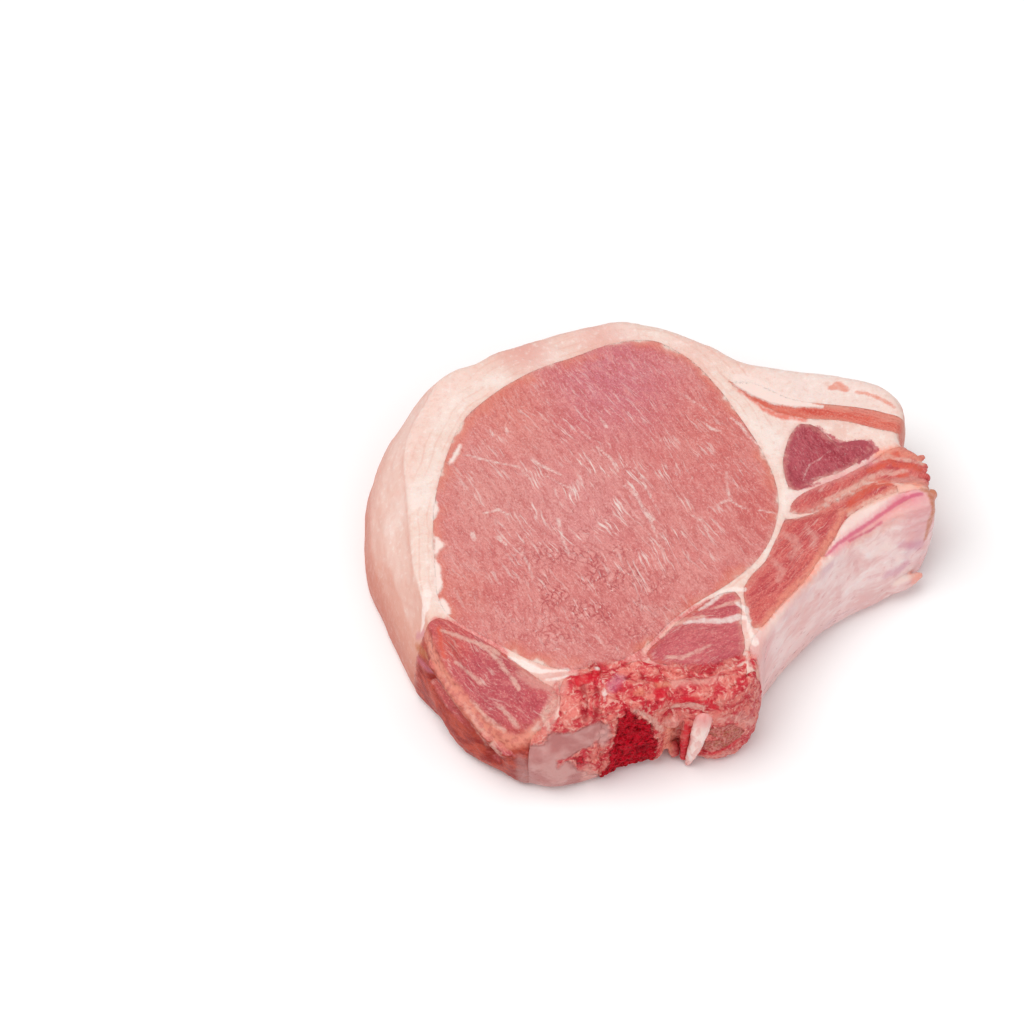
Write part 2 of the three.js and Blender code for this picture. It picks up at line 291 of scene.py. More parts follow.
def stretchedCutter(node, reach):
    # drawn out past both cut faces, and along reach through the wall
    cutter = nodeTwin(node, "cutter", cutting["grow"])
    faces = cutter.data.polygons
    for faceUp in (1, -1):
        editAll(cutter)
        bpy.ops.mesh.select_mode(type="FACE")
        bpy.ops.mesh.select_all(action="DESELECT")
        bpy.ops.object.mode_set(mode="OBJECT")
        faces.foreach_set("select", [face.normal.z * faceUp > 0.75 for face in faces])
        bpy.ops.object.mode_set(mode="EDIT")
        bpy.ops.transform.translate(value=(0, 0, cutting["past"] * faceUp * mm))
        bpy.ops.object.mode_set(mode="OBJECT")
    if reach:
        first = twinOf(cutter, "shifted")
        for step in cutting["steps"]:
            shifted = twinOf(first, "shifted")
            shifted.data.transform(Matrix.Translation(Vector((*reach, 0)) * step * mm))
            combine(cutter, shifted, "UNION")
            bpy.data.objects.remove(shifted)
        bpy.data.objects.remove(first)
    return cutter


def keepLargest(piece):
    editAll(piece)
    bpy.ops.mesh.separate(type="LOOSE")
    bpy.ops.object.mode_set(mode="OBJECT")
    bits = sorted(bpy.context.selected_objects, key=lambda bit: len(bit.data.vertices))
    name = piece.name
    for bit in bits[:-1]:
        bpy.data.objects.remove(bit)
    bits[-1].name = name
    return bits[-1]


pieces = {}
for node, reach in cuts.items():
    cutter = stretchedCutter(node, reach)
    piece = twinOf(body, node + "_cut")
    combine(piece, cutter, "INTERSECT")
    combine(body, cutter, "DIFFERENCE")
    bpy.data.objects.remove(cutter)
    pieces[node] = keepLargest(piece)
    print(node, len(pieces[node].data.polygons))
body.name = "back_fat_cut"
pieces["back_fat"] = keepLargest(body)
pieces["nerve_strip"] = nodeTwin("nerve_strip", "nerve_strip_cut")
# the nerve is drawn down to a point: share of its width kept at each height, then foot and lean, in mm
taper = {
    "heights": (0, 3, 7, 12, 17, 21),
    "shares": (0.35, 0.7, 0.75, 0.78, 1.05, 1.3),
    "foot": 0.3,
    "lean": 0.6,
}
applyModifier(pieces["nerve_strip"], "SUBSURF", levels=3)
points = readPoints(pieces["nerve_strip"]) / mm
lowest, highest = points[:, 2].min(), points[:, 2].max()
bands = np.linspace(lowest, highest, 7)
centres = np.array([points[np.abs(points[:, 2] - band) < 1.6, :2].mean(0) for band in bands])
middle = np.stack([np.interp(points[:, 2], bands, centres[:, axis]) for axis in (0, 1)], 1)
share = np.interp(points[:, 2], taper["heights"], taper["shares"])[:, None]
points[:, :2] = middle + (points[:, :2] - middle) * share
stretch = (highest - points[:, 2]) / (highest - lowest)
points[:, 2] = highest - stretch * (highest - taper["foot"])
points[:, 0] -= taper["lean"] * stretch**3
writePoints(pieces["nerve_strip"], points * mm)

print("stage: rough and torn pieces")
roughPieces = {  # facet size, then kind, size and height of each swelling, mm
    "spongy_bone": {"voxel": 0.3, "swells": [("VORONOI", 1.6, 1.0), ("CLOUDS", 0.8, 0.8)]},
    "backbone_end": {"voxel": 0.32, "swells": [("CLOUDS", 1.6, 0.9), ("CLOUDS", 0.7, 0.5)]},
    "spinal_tissue": {"voxel": 0.33, "swells": [("CLOUDS", 3.2, 1.1), ("CLOUDS", 1.2, 0.55)]},
    "nerve_strip": {"voxel": 0.22, "swells": [("CLOUDS", 4.0, 0.5)]},
    "feather_muscle": {"voxel": 0.36, "swells": [("CLOUDS", 1.3, 0.3)]},
    "upper_rib_meat": {"voxel": 0.32, "swells": [("CLOUDS", 1.1, 0.3)]},
    "rib_bone": {"voxel": 0.38, "swells": [("CLOUDS", 2.5, 0.3)]},
}
# torn knobs and shreds: place, half sizes and turn, all in mm and degrees
knobs = {
    "spinal_tissue": [
        ((-4.6, -46.6, 23.9), (2, 1.5, 1.5), 30),
        ((-1.4, -45.6, 24.3), (1.9, 1.5, 1.6), 10),
        ((0.8, -44.2, 24.4), (1.7, 1.3, 1.3), 80),
        ((-2.6, -47.9, 22.8), (2, 1.2, 1.3), 15),
        ((0.7, -47.8, 23.3), (1.6, 1.2, 1.6), 0),
        ((3.6, -48.2, 16.6), (1.9, 1.3, 2.4), 0),
        ((3.2, -46.6, 22.8), (1.9, 1.3, 1.5), 0),
        ((6.4, -46.8, 23.4), (2.3, 1.2, 1.1), 170),
        ((9.8, -47, 23.4), (2.2, 1.2, 1.2), 175),
        ((13.2, -45.6, 23.9), (2.4, 1.2, 1), 15),
        ((6.7, -48.7, 9), (0.75, 0.75, 8), 0),
        ((4.6, -48, 4), (0.9, 0.8, 3.4), 0),
        ((-15.1, -47.4, 24.5), (0.8, 3.2, 0.8), 3),
        ((-12.5, -47.4, 24.5), (0.7, 3, 0.8), 0),
        ((-10.7, -46.4, 24.4), (0.6, 2.6, 0.7), 0),
        ((-8.8, -45, 24.3), (1.5, 1.9, 1), 20),
        ((-12.4, -41.2, 24.6), (0.9, 0.8, 0.7), 0),
        ((-17.4, -45, 24.4), (2, 0.8, 0.8), 60),
    ],
    "upper_rib_meat": [
        ((60, 14.6, 23.4), (1.1, 0.5, 0.6), 20),
        ((60.6, 12.6, 23), (0.9, 0.5, 1), -20),
        ((60.6, 11.2, 23.6), (0.7, 0.4, 0.5), 30),
        ((60.9, 9.6, 23.2), (1, 0.5, 1.2), -35),
        ((60.2, 8, 23.6), (1.2, 0.5, 0.9), -20),
        ((60.7, 6.8, 22.4), (0.7, 0.5, 0.7), 15),
    ],
    "rib_bone": [
        ((56.8, -6.4, 5.2), (4.2, 0.9, 2.4), 28),
        ((59.2, -5, 5.6), (2, 0.6, 1.1), 20),
        ((61.6, 4.6, 23.4), (1.3, 1.1, 1.3), 40),
    ],
    "spongy_bone": [
        ((-12.5, -51.7, 18.4), (1.3, 0.9, 1.4), 0),
        ((-12.8, -53.4, 13.4), (1.2, 0.9, 2.2), 0),
        ((-12.5, -54.2, 8.6), (1.1, 0.8, 2.2), 0),
        ((-13, -54.4, 3.6), (1.3, 0.8, 2), 0),
        ((-12.3, -50, 22), (1.1, 1.2, 1), 0),
    ],
    "feather_muscle": [],
}
# small beads of gristle and fat all along the ridge of the feather muscle
ridge = {
    "path": [
        (-46.2, -36.9, 20.4), (-43.8, -41.1, 22.2), (-41.1, -45.5, 21.4), (-38.1, -49, 19.3),
        (-35.2, -52.1, 16.4), (-32.3, -54.4, 14.2), (-30, -55, 13.6),
    ],
    "beads": 30,
    "radius": (0.45, 1.0),
    "scatter": 0.5,
    "turn": -52,
    "seed": 11,
}
dice = np.random.RandomState(ridge["seed"])
for share in np.linspace(0, 1, ridge["beads"]):
    along = share * (len(ridge["path"]) - 1)
    first = min(int(along), len(ridge["path"]) - 2)
    a, b = (np.array(ridge["path"][k], float) for k in (first, first + 1))
    centre = a + (b - a) * (along - first) + dice.uniform(-1, 1, 3) * ridge["scatter"]
    size = dice.uniform(*ridge["radius"])
    turn = ridge["turn"] + dice.uniform(-25, 25)
    knobs["feather_muscle"].append((tuple(centre), (size * 1.7, size * 0.8, size * 0.8), turn))


def refine(piece, voxel, swells):
    applyModifier(piece, "REMESH", mode="VOXEL", voxel_size=voxel * mm * bodyLook["roughFacet"])
    applyModifier(piece, "SMOOTH", factor=0.5, iterations=3)
    for kind, size, height in swells:
        swell(piece, kind, size, height)
    applyModifier(piece, "SMOOTH", factor=0.5, iterations=1)
    # swollen a little, so that its rounded edges close up against its neighbours
    normals = readPoints(piece, "normal")
    outwards = bodyLook["closing"] * (1 - 0.75 * np.abs(normals[:, 2:])) * mm
    points = readPoints(piece) + normals * outwards
    points[:, 2] = np.maximum(points[:, 2], 0)
    writePoints(piece, points)


for node, lumps in knobs.items():
    for at, size, turn in lumps:
        onlySelect(pieces[node])
        bpy.ops.mesh.primitive_ico_sphere_add(subdivisions=3, radius=mm, location=Vector(at) * mm)
        lump = bpy.context.active_object
        lump.scale = size
        lump.rotation_euler.z = math.radians(turn)
        bpy.ops.object.transform_apply(location=True, rotation=True, scale=True)
        combine(pieces[node], lump, "UNION")
        bpy.data.objects.remove(lump)
for node, work in roughPieces.items():
    refine(pieces[node], work["voxel"], work["swells"])
    pieces[node] = keepLargest(pieces[node])

print("stage: layers that steer the colours")
# each mark holds the distance in mm to its nearest stroke, less the stroke's half width
marks = {
    "blushMark": [
        [(-46, -29.5, 0.8), (-42.5, -30.8, 1.7), (-37.3, -33.8, 1.8), (-32.4, -36.8, 1.2)],
        [
            (-17.5, -41, 0.8), (-11, -40, 1.2), (-3, -37.6, 1.3), (1, -34, 1.3), (4.5, -30.4, 1.3),
            (8.5, -27, 1.1), (11.5, -25, 0.7),
        ],
        [(0, -39.6, 1), (8, -40.4, 1.2), (16, -38.8, 1)],
        [(-46.6, -31, 0.6), (-45.6, -36, 0.9), (-43, -40, 0.8)],
    ],
    "tornMark": [
        [
            (-17.6, -46.2, 2.2), (-12, -43, 3.4), (-7, -42.4, 3.6), (-2, -43.6, 3.2), (3, -45, 2.7),
            (8, -45.2, 2.7), (13, -44, 2.3), (16.5, -42, 1.8),
        ],
        [(0.5, -40.6, 0.9), (6, -41.4, 1.2), (12, -41.2, 1.3), (16, -39.6, 1), (18.6, -38.4, 0.6)],
        [(-20.6, -44.5, 0.4), (-20.9, -48, 0.9), (-22.4, -52, 0.8)],
        [(19.6, -36.6, 0.3), (20.6, -39.4, 0.9)],
        [
            (-16, -51, 22, 1.5), (-10, -49, 23, 2), (-3, -48.5, 22, 2), (4, -48, 19, 4),
            (6, -48, 12, 4.5), (6, -48, 4, 5), (13, -48, 22, 2),
        ],
    ],
    "gristleMark": [
        [(-24.6, -55, 14, 3.2), (-23.5, -55.6, 8, 5), (-22, -55.5, 3, 6)],
        [(-19.5, -55, 9, 3), (-17.5, -55.5, 3, 3.6), (-13.4, -54.8, 1.6, 2.4)],
        [(-20, -54, 16, 3.4), (-15, -53, 17.5, 2.6), (-11.5, -52, 19, 2.2), (-10.8, -52.5, 13, 1.2)],
    ],
    "marrowMark": [
        [
            (-6.5, -50, 24, 0.4), (-5.8, -50.2, 21, 2.4), (-4.8, -50.5, 17, 4), (-4.5, -51, 11, 5.2),
            (-5, -51, 6, 5.4), (-6, -51, 1.5, 6),
        ],
        [(-16.1, -54.9, 11.8, 0.9), (-15.4, -55.2, 10.6, 0.5)],
    ],
    "boneMark": [
        [
            (11.8, -49, 14.4, 1.4), (15, -48.7, 13.6, 2.2), (16.8, -48, 10.4, 2), (13.4, -49.1, 8.6, 2.4),
            (11.6, -49.2, 7.6, 1.2),
        ],
    ],
    "paleMark": [
        [(29, -7, 0.1), (31, -8.6, 0.5), (31.4, -11, 0.3), (30, -13, 0.1)],
        [(34, -5.6, 0), (35.4, -8, 0.3), (34.6, -10, 0.1)],
        [(26, -14, 0), (27.6, -16.4, 0.3), (27, -19, 0)],
        [(-28.5, -41.9, 0.3), (-25.3, -44.1, 0.9), (-22.4, -44.9, 1), (-19.4, -44.7, 0.6)],
        [(54, 7.7, 0.5), (57.2, 8.2, 0.9), (60.5, 6.4, 0.9)],
        [(42.5, -8.2, 23, 0.5), (50, -2.6, 23, 1.2), (56, 1.5, 23, 1.6), (60, 3, 22, 1.2)],
        [(-13.6, -55, 8, 1), (-13.4, -55, 3, 1.3)],
        [(3.5, -48.4, 16.3, 1.9)],
        [(16, -47.8, 4, 1), (11, -49, 1.6, 1)],
        [(13.9, -48.5, 18.1, 0.5), (17.5, -47.2, 16.9, 0.8), (20.6, -44.8, 10, 0.7)],
        [(4, -44.4, 25, 0.6), (8, -44, 25, 0.6), (12, -43.4, 25, 0.6)],
        [(-19.8, -43.6, 0.7), (-20.2, -46.6, 0.9), (-21.4, -49, 1), (-22.4, -51.6, 0.9)],
    ],
    "orangeMark": [
        [
            (-47.2, -31.4, 22.6, 0.8), (-46, -35.6, 22.4, 1.2), (-44.2, -39.6, 22.6, 1.2),
            (-41.6, -44.2, 22, 1.2), (-38.2, -48, 20.2, 1.2), (-34.6, -51.2, 17.8, 1.3),
            (-31, -53.2, 16.4, 1.3), (-28, -53.4, 17, 0.9), (-25.6, -52.7, 19, 0.5),
        ],
        [(43, -1, 0.1), (46, 1.1, 0.1), (49.5, 2.5, 0.15), (54.4, 5.3, 0.15), (59, 6.1, 0.3)],
        [
            (41.9, -0.5, 0), (40.9, -3.3, 0.1), (39.6, -6.1, 0.2), (37.8, -9.4, 0.2), (35.6, -14.1, 0.3),
            (33, -18, 0.3), (29.7, -21.4, 0.3), (25.2, -27, 0.1), (22.8, -30.6, 0),
        ],
        [(50.6, 14.5, 0.4), (54.6, 15.4, 0.7), (57.8, 15.1, 0.8), (60.4, 14, 0.6)],
        [(3.2, -47.8, 3.5, 1.1), (3.4, -48.6, 16, 0.8)],
        [(58.5, -5.5, 6, 0.6), (61.5, -4.4, 5.4, 0.7)],
        [(58, 6.4, 24.6, 0.3), (61, 6, 23.6, 0.6)],
    ],
    "fatMark": [
        [
            (21.2, 34.9, 1.6), (24.8, 32.6, 2.0), (28.2, 30.4, 1.7), (32, 29, 1.1), (36, 28.2, 0.4),
            (39, 27.6, 0),
        ],
        [(-47.2, 3, 0), (-46.6, -0.7, 0.4), (-47.2, -3, 0)],
        [(-46.4, -8, 0), (-45.7, -9.9, 0.7), (-46.4, -12, 0.1)],
        [(-46.4, -14, 0.1), (-46, -15.6, 0.4), (-45.6, -19.9, 0.5), (-46, -22, 0.1)],
        [(-45, -23.6, 0), (-44.4, -25.2, 0.6), (-43.6, -27, 0.4)],
        [(-43.6, 12, 0.1), (-42.6, 14, 0.2), (-41.4, 17, 0)],
    ],
    # painted shade: a dark red stroke down the valley under the ridge of the feather muscle, over the carved
    # hollow
    "paintedValleyShadeMark": [
        [
            (-46.4, -36.8, 16, 0.3), (-44.4, -41, 15.5, 0.5), (-41.3, -45.6, 15, 0.9),
            (-37.8, -49.4, 13.7, 1.3), (-35, -52.2, 11.5, 1.3), (-32.6, -54, 9.5, 0.8),
        ],
    ],
    "warmMark": [
        [(21.3, 32.2, 0.3), (24.5, 29.1, 0.5), (27.3, 26.6, 0.8), (30.4, 25.3, 0.8), (35, 24.2, 0.3)],
        [(48.3, 9.9, 0.3), (50, 11.1, 0.7), (52, 12.6, 0.8), (54.6, 14.4, 0.5)],
        [(54, 11.9, 0.3), (56.7, 11.7, 0.5), (59.4, 11.2, 0.4)],
        [(43.3, 1, 0.4), (45.5, 3.4, 0.7), (47.6, 5.3, 0.9), (50.8, 6.9, 0.7), (52.8, 6.5, 0.3)],
        [(55.3, 9.3, 0.4), (56.5, 9.4, 0.3)],
        [(-45.3, -31, 0), (-44.9, -35, 0), (-44.2, -38.2, 0)],
    ],
    "redMark": [
        [(-0.7, -43, 25, 0.7), (0.3, -46.8, 24.8, 0.9), (2.4, -47.4, 23.5, 0.5)],
        [
            (3.5, -47.4, 22.6, 0.3), (7.4, -47.8, 24, 0.4), (11.1, -47.9, 23.4, 0.5),
            (12.6, -48.1, 21.7, 0.5),
        ],
        [(-16.4, -44.2, 25, 1), (-13.3, -42.8, 25, 0.8), (-11, -40.2, 25, 0.6)],
        [(6.9, -49.2, 16, 0.5), (6.7, -49.3, 12, 0.7), (6.6, -49.3, 6, 0.8), (6.2, -49.2, 1.5, 0.8)],
        [(10.3, -48.7, 3.6, 0.4), (13.6, -49, 5.4, 0.7), (16.7, -48.2, 7.1, 0.8), (18.5, -47, 8.2, 0.6)],
        [(-34, -54.4, 1.6, 0.7), (-30, -55.4, 1.6, 0.8)],
    ],
    "magentaMark": [
        [
            (37.5, -12.1, 0), (40.4, -8.8, 0.1), (44.1, -5.9, 0.15), (47.8, -3.1, 0.15),
            (51.1, -0.5, 0.15), (53.6, 1.5, 0.2), (56.1, 3.1, 0.3), (59.2, 3.6, 0.2),
        ],
        [(42.8, -7.9, 24, 0), (47.8, -4.6, 23.4, 0.05), (50.2, -2.8, 23.8, 0)],
    ],
    "roseMark": [
        [
            (39, -10.8, 24, 0), (44.1, -6.2, 24, 0.3), (50, -1.8, 24, 0.5), (53.6, 1.2, 24, 0.8),
            (57, 3, 24, 1.2), (60, 3.4, 23, 0.9),
        ],
        [(24, -30, 22, 0.3), (21.5, -36, 20, 0.6), (20, -41, 16, 0.5)],
        [(31, 2.8, 24, 0.1), (36, 5.4, 24, 0.3), (44.9, 10, 24, 0.4), (50, 13.4, 24, 0.3)],
    ],
    "plumMark": [
        [
            (37.6, 22.2, 0), (40.6, 19.1, 0.2), (42.2, 17.2, 0.5), (45.4, 17.4, 0.5), (49, 17.3, 0.7),
            (50.2, 15.6, 0.5), (46, 12, 0.2),
        ],
        [(33.4, 22, 0.1), (31.6, 16, 0.1), (31.4, 9, 0.1), (33, 5, 0.2), (37, 6.4, 0.1)],
    ],
    "lilacMark": [
        [(-28, -55.2, 13, 0.1), (-27.4, -55.6, 8, 0.5), (-26.8, -55.8, 3, 0.8)],
    ],
    "brownMark": [
        [(62.4, 5, 24, 1.1)],
        [
            (59.5, 4.8, 25, 0.2), (61, 4.3, 24.7, 0.6), (61.9, 2.6, 24.3, 0.7), (61.9, 1.7, 21.3, 0.6),
            (61.4, 0.4, 18.3, 0.5), (60.8, -0.8, 14.5, 0.2),
        ],
        [(-49.8, -30.2, 16.6, 0.5), (-48.6, -31.8, 18, 1.1), (-47.4, -34.2, 19.4, 0.5)],
    ],
    "darkMark": [
        [(4.7, -48.2, 14, 0.3), (4.8, -48.4, 10, 0.5), (4.9, -48.6, 4, 0.5)],
        [(-2.6, -42.6, 25, 0.45)],
        [(-5.9, -42.8, 25, 0.3)],
        [(-7.2, -46.8, 24, 0.3), (-6.2, -47.2, 23, 0.4)],
        [(-2.4, -51, 9.5, 1.2)],
        [(-15.1, -45.5, 25, 0.35), (-15, -50.7, 24, 0.4), (-14.7, -51.9, 22.6, 0.2)],
        [(-12.4, -45.8, 25, 0.3), (-12.5, -50.7, 24, 0.35), (-12.7, -51.8, 22.6, 0.2)],
    ],
    "purpleMark": [
        [(54.8, -4, 17, 0.1), (57.4, -2.9, 15.6, 0.4), (59.7, -1.7, 13.8, 0.7)],
        [(52, -7.8, 11.4, 0.5), (54.5, -6.3, 10.6, 0.8), (56.6, -4.8, 11.2, 0.4)],
        [(-49.4, -32.8, 15.4, 0.1), (-46.9, -36.7, 17, 0.3), (-44.8, -40.2, 17, 0.2)],
        [(-9.2, -45.6, 25, 0.5), (-7.4, -42.9, 25, 0.6)],
        [(-49.9, -28.9, 18.6, 0.1), (-48.6, -29.6, 21, 0.1)],
    ],
    "creamMark": [
        [
            (38.4, 2.4, 0.1), (42, 4.3, 0.25), (44.9, 6, 0.2), (47.8, 8.2, 0.3), (51, 9.9, 0.35),
            (54.2, 10, 0.25), (56.6, 10.4, 0.15),
        ],
        [(49.5, 12.6, 0.1), (53, 14.2, 0.2), (56, 13.4, 0.2), (60, 12.8, 0.2)],
        [
            (43.2, -2, 0.4), (45.7, -0.1, 0.6), (48.9, 2, 0.6), (51.4, 3.2, 0.5), (53.8, 4.5, 0.4),
            (57.2, 5.6, 0.4),
        ],
        [(-44.7, -31.9, 0.05), (-41.1, -33, 0.2), (-37, -35, 0.3), (-33, -37.1, 0.3)],
        [
            (-37, -35, 0.2), (-34.6, -36.7, 0.3), (-32.9, -38.9, 0.2), (-31.4, -41.3, 0.15),
            (-29.9, -43.3, 0.15), (-28.5, -45.6, 0.1),
        ],
        [(-41.7, -39.7, 0.05), (-39.3, -41.4, 0.15), (-37.5, -42.9, 0.15), (-36.1, -44.1, 0.05)],
        [(-33.2, -48, 0), (-31.7, -49.2, 0.05), (-30.2, -50.7, 0.05), (-28.5, -52.1, 0)],
        [
            (-46.2, -36.9, 20.6, 0.2), (-43.8, -41.1, 22.4, 0.35), (-41.1, -45.5, 21.6, 0.45),
            (-38.1, -49.2, 19.4, 0.5), (-35.2, -52.2, 16.4, 0.5), (-32.3, -54.6, 14.2, 0.5),
        ],
        [(-38.5, -47, 0), (-35.2, -50.2, 0.05), (-31.5, -52.2, 0.05)],
        [(12.2, -26, 0.05), (15.3, -25.1, 0.15), (17.5, -24.7, 0.2), (19.1, -24.2, 0.2)],
        [(1.4, -32.9, 0.05), (4, -30, 0.15), (6.5, -28.8, 0.2), (10.3, -28.1, 0.15)],
        [(-2.4, -36.9, 0.25), (-1.1, -34.3, 0.2)],
        [(1.9, -38, 0.05), (5.6, -38.3, 0.15), (8.7, -36.9, 0.15), (11.5, -35.4, 0.05)],
        [(-4.8, -50.6, 24, 0.3), (-2.1, -50.6, 22, 0.45), (0.3, -50.2, 18.2, 0.5), (1.6, -50, 14.5, 0.35)],
        [(3.6, -47.6, 20.8, 0.4), (6.6, -48, 22, 0.6), (9.6, -48.4, 21.8, 0.6)],
        [(-21, -48.6, 23.6, 0.5), (-23.6, -50.4, 22.6, 0.4), (-22, -52.6, 20, 0.3)],
    ],
    "whiteMark": [
        [(-48, -22, 25, 0.8), (-48.3, -25.6, 24.2, 0.9), (-48.6, -27.6, 22.6, 0.6), (-49.2, -29, 20.2, 0)],
        [
            (-30.5, -37.9, 0.1), (-27.9, -39.3, 0.5), (-25.8, -40.6, 0.65), (-23.8, -41.3, 0.25),
            (-21.2, -41.3, 0.1), (-18.2, -41, 0.05),
        ],
        [(-22.9, -43.5, 0.1), (-20.6, -43.3, 0.15), (-18.3, -42.6, 0.1)],
        [(9.7, -26.2, 0.05), (12.3, -24.4, 0.2), (14.9, -22, 0.3), (17.1, -21.2, 0.35), (19.5, -21.4, 0.3)],
        [
            (6.5, -29.4, 0.05), (10.2, -29.1, 0.25), (13.3, -29.2, 0.4), (15.8, -29, 0.4),
            (18, -28.2, 0.4), (19.6, -28.6, 0.3),
        ],
        [(17.8, -25, 0.2), (19.6, -26.2, 0.3), (20, -28.8, 0.25), (20, -31.2, 0.25), (20.7, -33.4, 0.3)],
        [(21.1, -34.4, 24.8, 0.8)],
        [
            (-11, -43.6, 25, 0), (-10.8, -46.5, 24.8, 0.15), (-10.3, -48.9, 24.6, 0.2),
            (-8.8, -49.4, 24.4, 0.1),
        ],
        [(-12.2, -41, 25, 0.4)],
        [(18.6, -40, 23.6, 0.15), (17.6, -44, 21, 0.25), (17, -46.4, 18, 0.15)],
    ],
    "threadMark": [
        [(35.5, 7.7, -0.1), (38.3, 8.5, -0.1)],
        [(40, 15.5, -0.25), (41.1, 14.1, -0.15), (42.5, 12.1, -0.15), (44, 10.9, -0.2)],
        [(33.4, 6.8, -0.2), (34.5, 9.7, -0.1), (35.3, 11.7, -0.15), (37.4, 13, -0.15), (39.8, 15.1, -0.2)],
        [(7, 32, 0), (10.5, 29, 0.1), (13.5, 26.5, 0)],
        [(12.5, 23.5, 0), (14, 21.5, 0.15), (16.5, 20.5, 0)],
        [(18.5, 24.5, 0), (20.5, 22.5, 0.15), (22.5, 19, 0.15), (25, 16.5, 0)],
        [(17, 9.5, 0), (17, 5, 0.1), (17.5, 2, 0.15), (15, 1, 0)],
        [(17.5, 2, 0.1), (19, 0.5, 0.1), (21, -0.5, 0)],
        [(9, -2, 0), (11, -3.5, 0.1), (12.5, -6.5, 0)],
        [(-4, 6.5, 0), (-2, 1, 0.15), (0.5, -5, 0.1), (1.5, -8.5, 0)],
        [(-3, 11, 0), (-0.5, 5, 0.1), (1.5, 0, 0)],
        [(23, -0.5, 0), (27, -1.5, 0.1)],
        [(-40.5, 14.5, 0), (-37.5, 13.5, 0.2), (-32.5, 12, 0.05), (-28.5, 11, 0.1), (-26, 7.5, 0)],
        [(-26, 13, 0), (-22.5, 10.5, 0.2), (-19, 8.5, 0)],
        [(-14.5, 20.5, 0), (-12.5, 18.5, 0.1)],
        [(-10.5, 24.5, 0), (-9, 22, 0.25)],
        [(-11.5, 16.5, 0), (-8.5, 13.5, 0.15), (-6.5, 9.5, 0)],
        [(-5.5, 6, 0), (-2.5, 2.5, 0.15), (-1, -1, 0.1), (1, -3.5, 0)],
        [(-31.5, 22, 0), (-31, 20.5, 0.2)],
        [(-35, 21.5, 0), (-34, 19.5, 0.15)],
        [(-33, -8, 0.3), (-31, -10, 0)],
        [(-28.5, -10.5, 0), (-26.5, -14.5, 0.15), (-25.5, -18.5, 0)],
        [(-20, -3, 0.2), (-19, -8, 0.1), (-17.5, -12.5, 0)],
        [(-38.5, -7, 0.3), (-38, -8.5, 0.3)],
        [(-36, -1.5, 0.1), (-33, -0.5, 0.2), (-30.5, -2, 0)],
        [(-22.5, 8.5, 0), (-19, 6, 0.1), (-15.5, 4, 0)],
    ],
    "softMark": [
        [(41.2, 32.9, 0.3), (43.2, 33.4, 0.9), (44.6, 32.4, 0.6)],
        [(-4.4, -46.8, 24.7, 0.5), (-1.5, -45.8, 25, 0.6), (2.4, -44.7, 25, 0.4)],
        [(3.1, -47.8, 18, 0.8), (4.3, -47.9, 14.2, 0.5)],
        [(47, 31.5, 0.05), (49, 31.1, 0.15), (51.3, 30, 0.2), (53.6, 28.5, 0.2), (55.1, 27.2, 0.1)],
        [(56.9, 29, 24.4, 0.1), (57.4, 26, 23.6, 0.3), (57.2, 23.5, 23, 0.3), (56.4, 21, 22.6, 0.3)],
    ],
}
eyeTree = surfaceOf(["loin_eye"])
allMeatTree = surfaceOf(meatNodes)
for node, piece in pieces.items():
    points = readPoints(piece)
    for name, strokes in marks.items():
        setLayer(piece, name, np.min([strokeDistance(points, stroke) for stroke in strokes], axis=0))
    setLayer(piece, "seamAway", distanceTo(allMeatTree if node == "back_fat" else fatTree, points))
    if node == "back_fat":
        setLayer(piece, "eyeAway", distanceTo(eyeTree, points))


def tint(code):
    channels = [int(code[i : i + 2], 16) / 255 for i in (0, 2, 4)]
    return (*[c / 12.92 if c <= 0.04045 else ((c + 0.055) / 1.055) ** 2.4 for c in channels], 1)


def addNode(tree, kind, inputs=None, **settings):
    made = tree.nodes.new("ShaderNode" + kind)
    for key, value in settings.items():
        setattr(made, key, value)
    for key, value in (inputs or {}).items():
        if isinstance(value, bpy.types.NodeSocket):
            tree.links.new(value, made.inputs[key])
        else:
            made.inputs[key].default_value = value
    return made


def calc(tree, operation, a, b=0.0, c=0.0):
    return addNode(tree, "Math", {0: a, 1: b, 2: c}, operation=operation).outputs[0]


def times(tree, a, b):
    return calc(tree, "MULTIPLY", a, b)


def plus(tree, a, b):
    return calc(tree, "ADD", a, b)


def mixTint(tree, amount, a, b):
    a, b = (tint(v) if isinstance(v, str) else v for v in (a, b))
    return addNode(tree, "Mix", {0: amount, 6: a, 7: b}, data_type="RGBA").outputs[2]


def between(tree, value, low, high, top=1.0):
    # 0 at low, `top` at high, smooth in between
    (low, least), (high, most) = sorted([(low, 0.0), (high, top)])
    settings = {"Value": value, "From Min": low, "From Max": high, "To Min": least, "To Max": most}
    return addNode(tree, "MapRange", settings, interpolation_type="SMOOTHSTEP").outputs[0]


def washed(tree, colour, value, *washes, where=None):
    # each wash is (value where it starts, value where it is full, strength, colour)
    for low, high, strength, wash in washes:
        amount = between(tree, value, low, high, strength)
        if where:
            amount = times(tree, amount, where)
        colour = mixTint(tree, amount, colour, wash)
    return colour


def blend(tree, value, low, high, a, b):
    return mixTint(tree, between(tree, value, low, high), a, b)


def layer(tree, name):
    return addNode(tree, "Attribute", attribute_name=name).outputs["Fac"]


def scaled(tree, place, size, turn=0):
    # turns the pattern about the vertical, then measures it in steps of `size` mm
    size = size if isinstance(size, tuple) else (size, size, size)
    return addNode(
        tree, "Mapping",
        {"Vector": place, "Rotation": (0, 0, math.radians(turn)), "Scale": tuple(s * mm for s in size)},
        vector_type="TEXTURE",
    ).outputs[0]


def cloud(tree, place, size, turn=0, detail=2.0, rough=0.5, output=0):
    return addNode(
        tree, "TexNoise",
        {"Vector": scaled(tree, place, size, turn), "Scale": 1.0, "Detail": detail, "Roughness": rough},
    ).outputs[output]


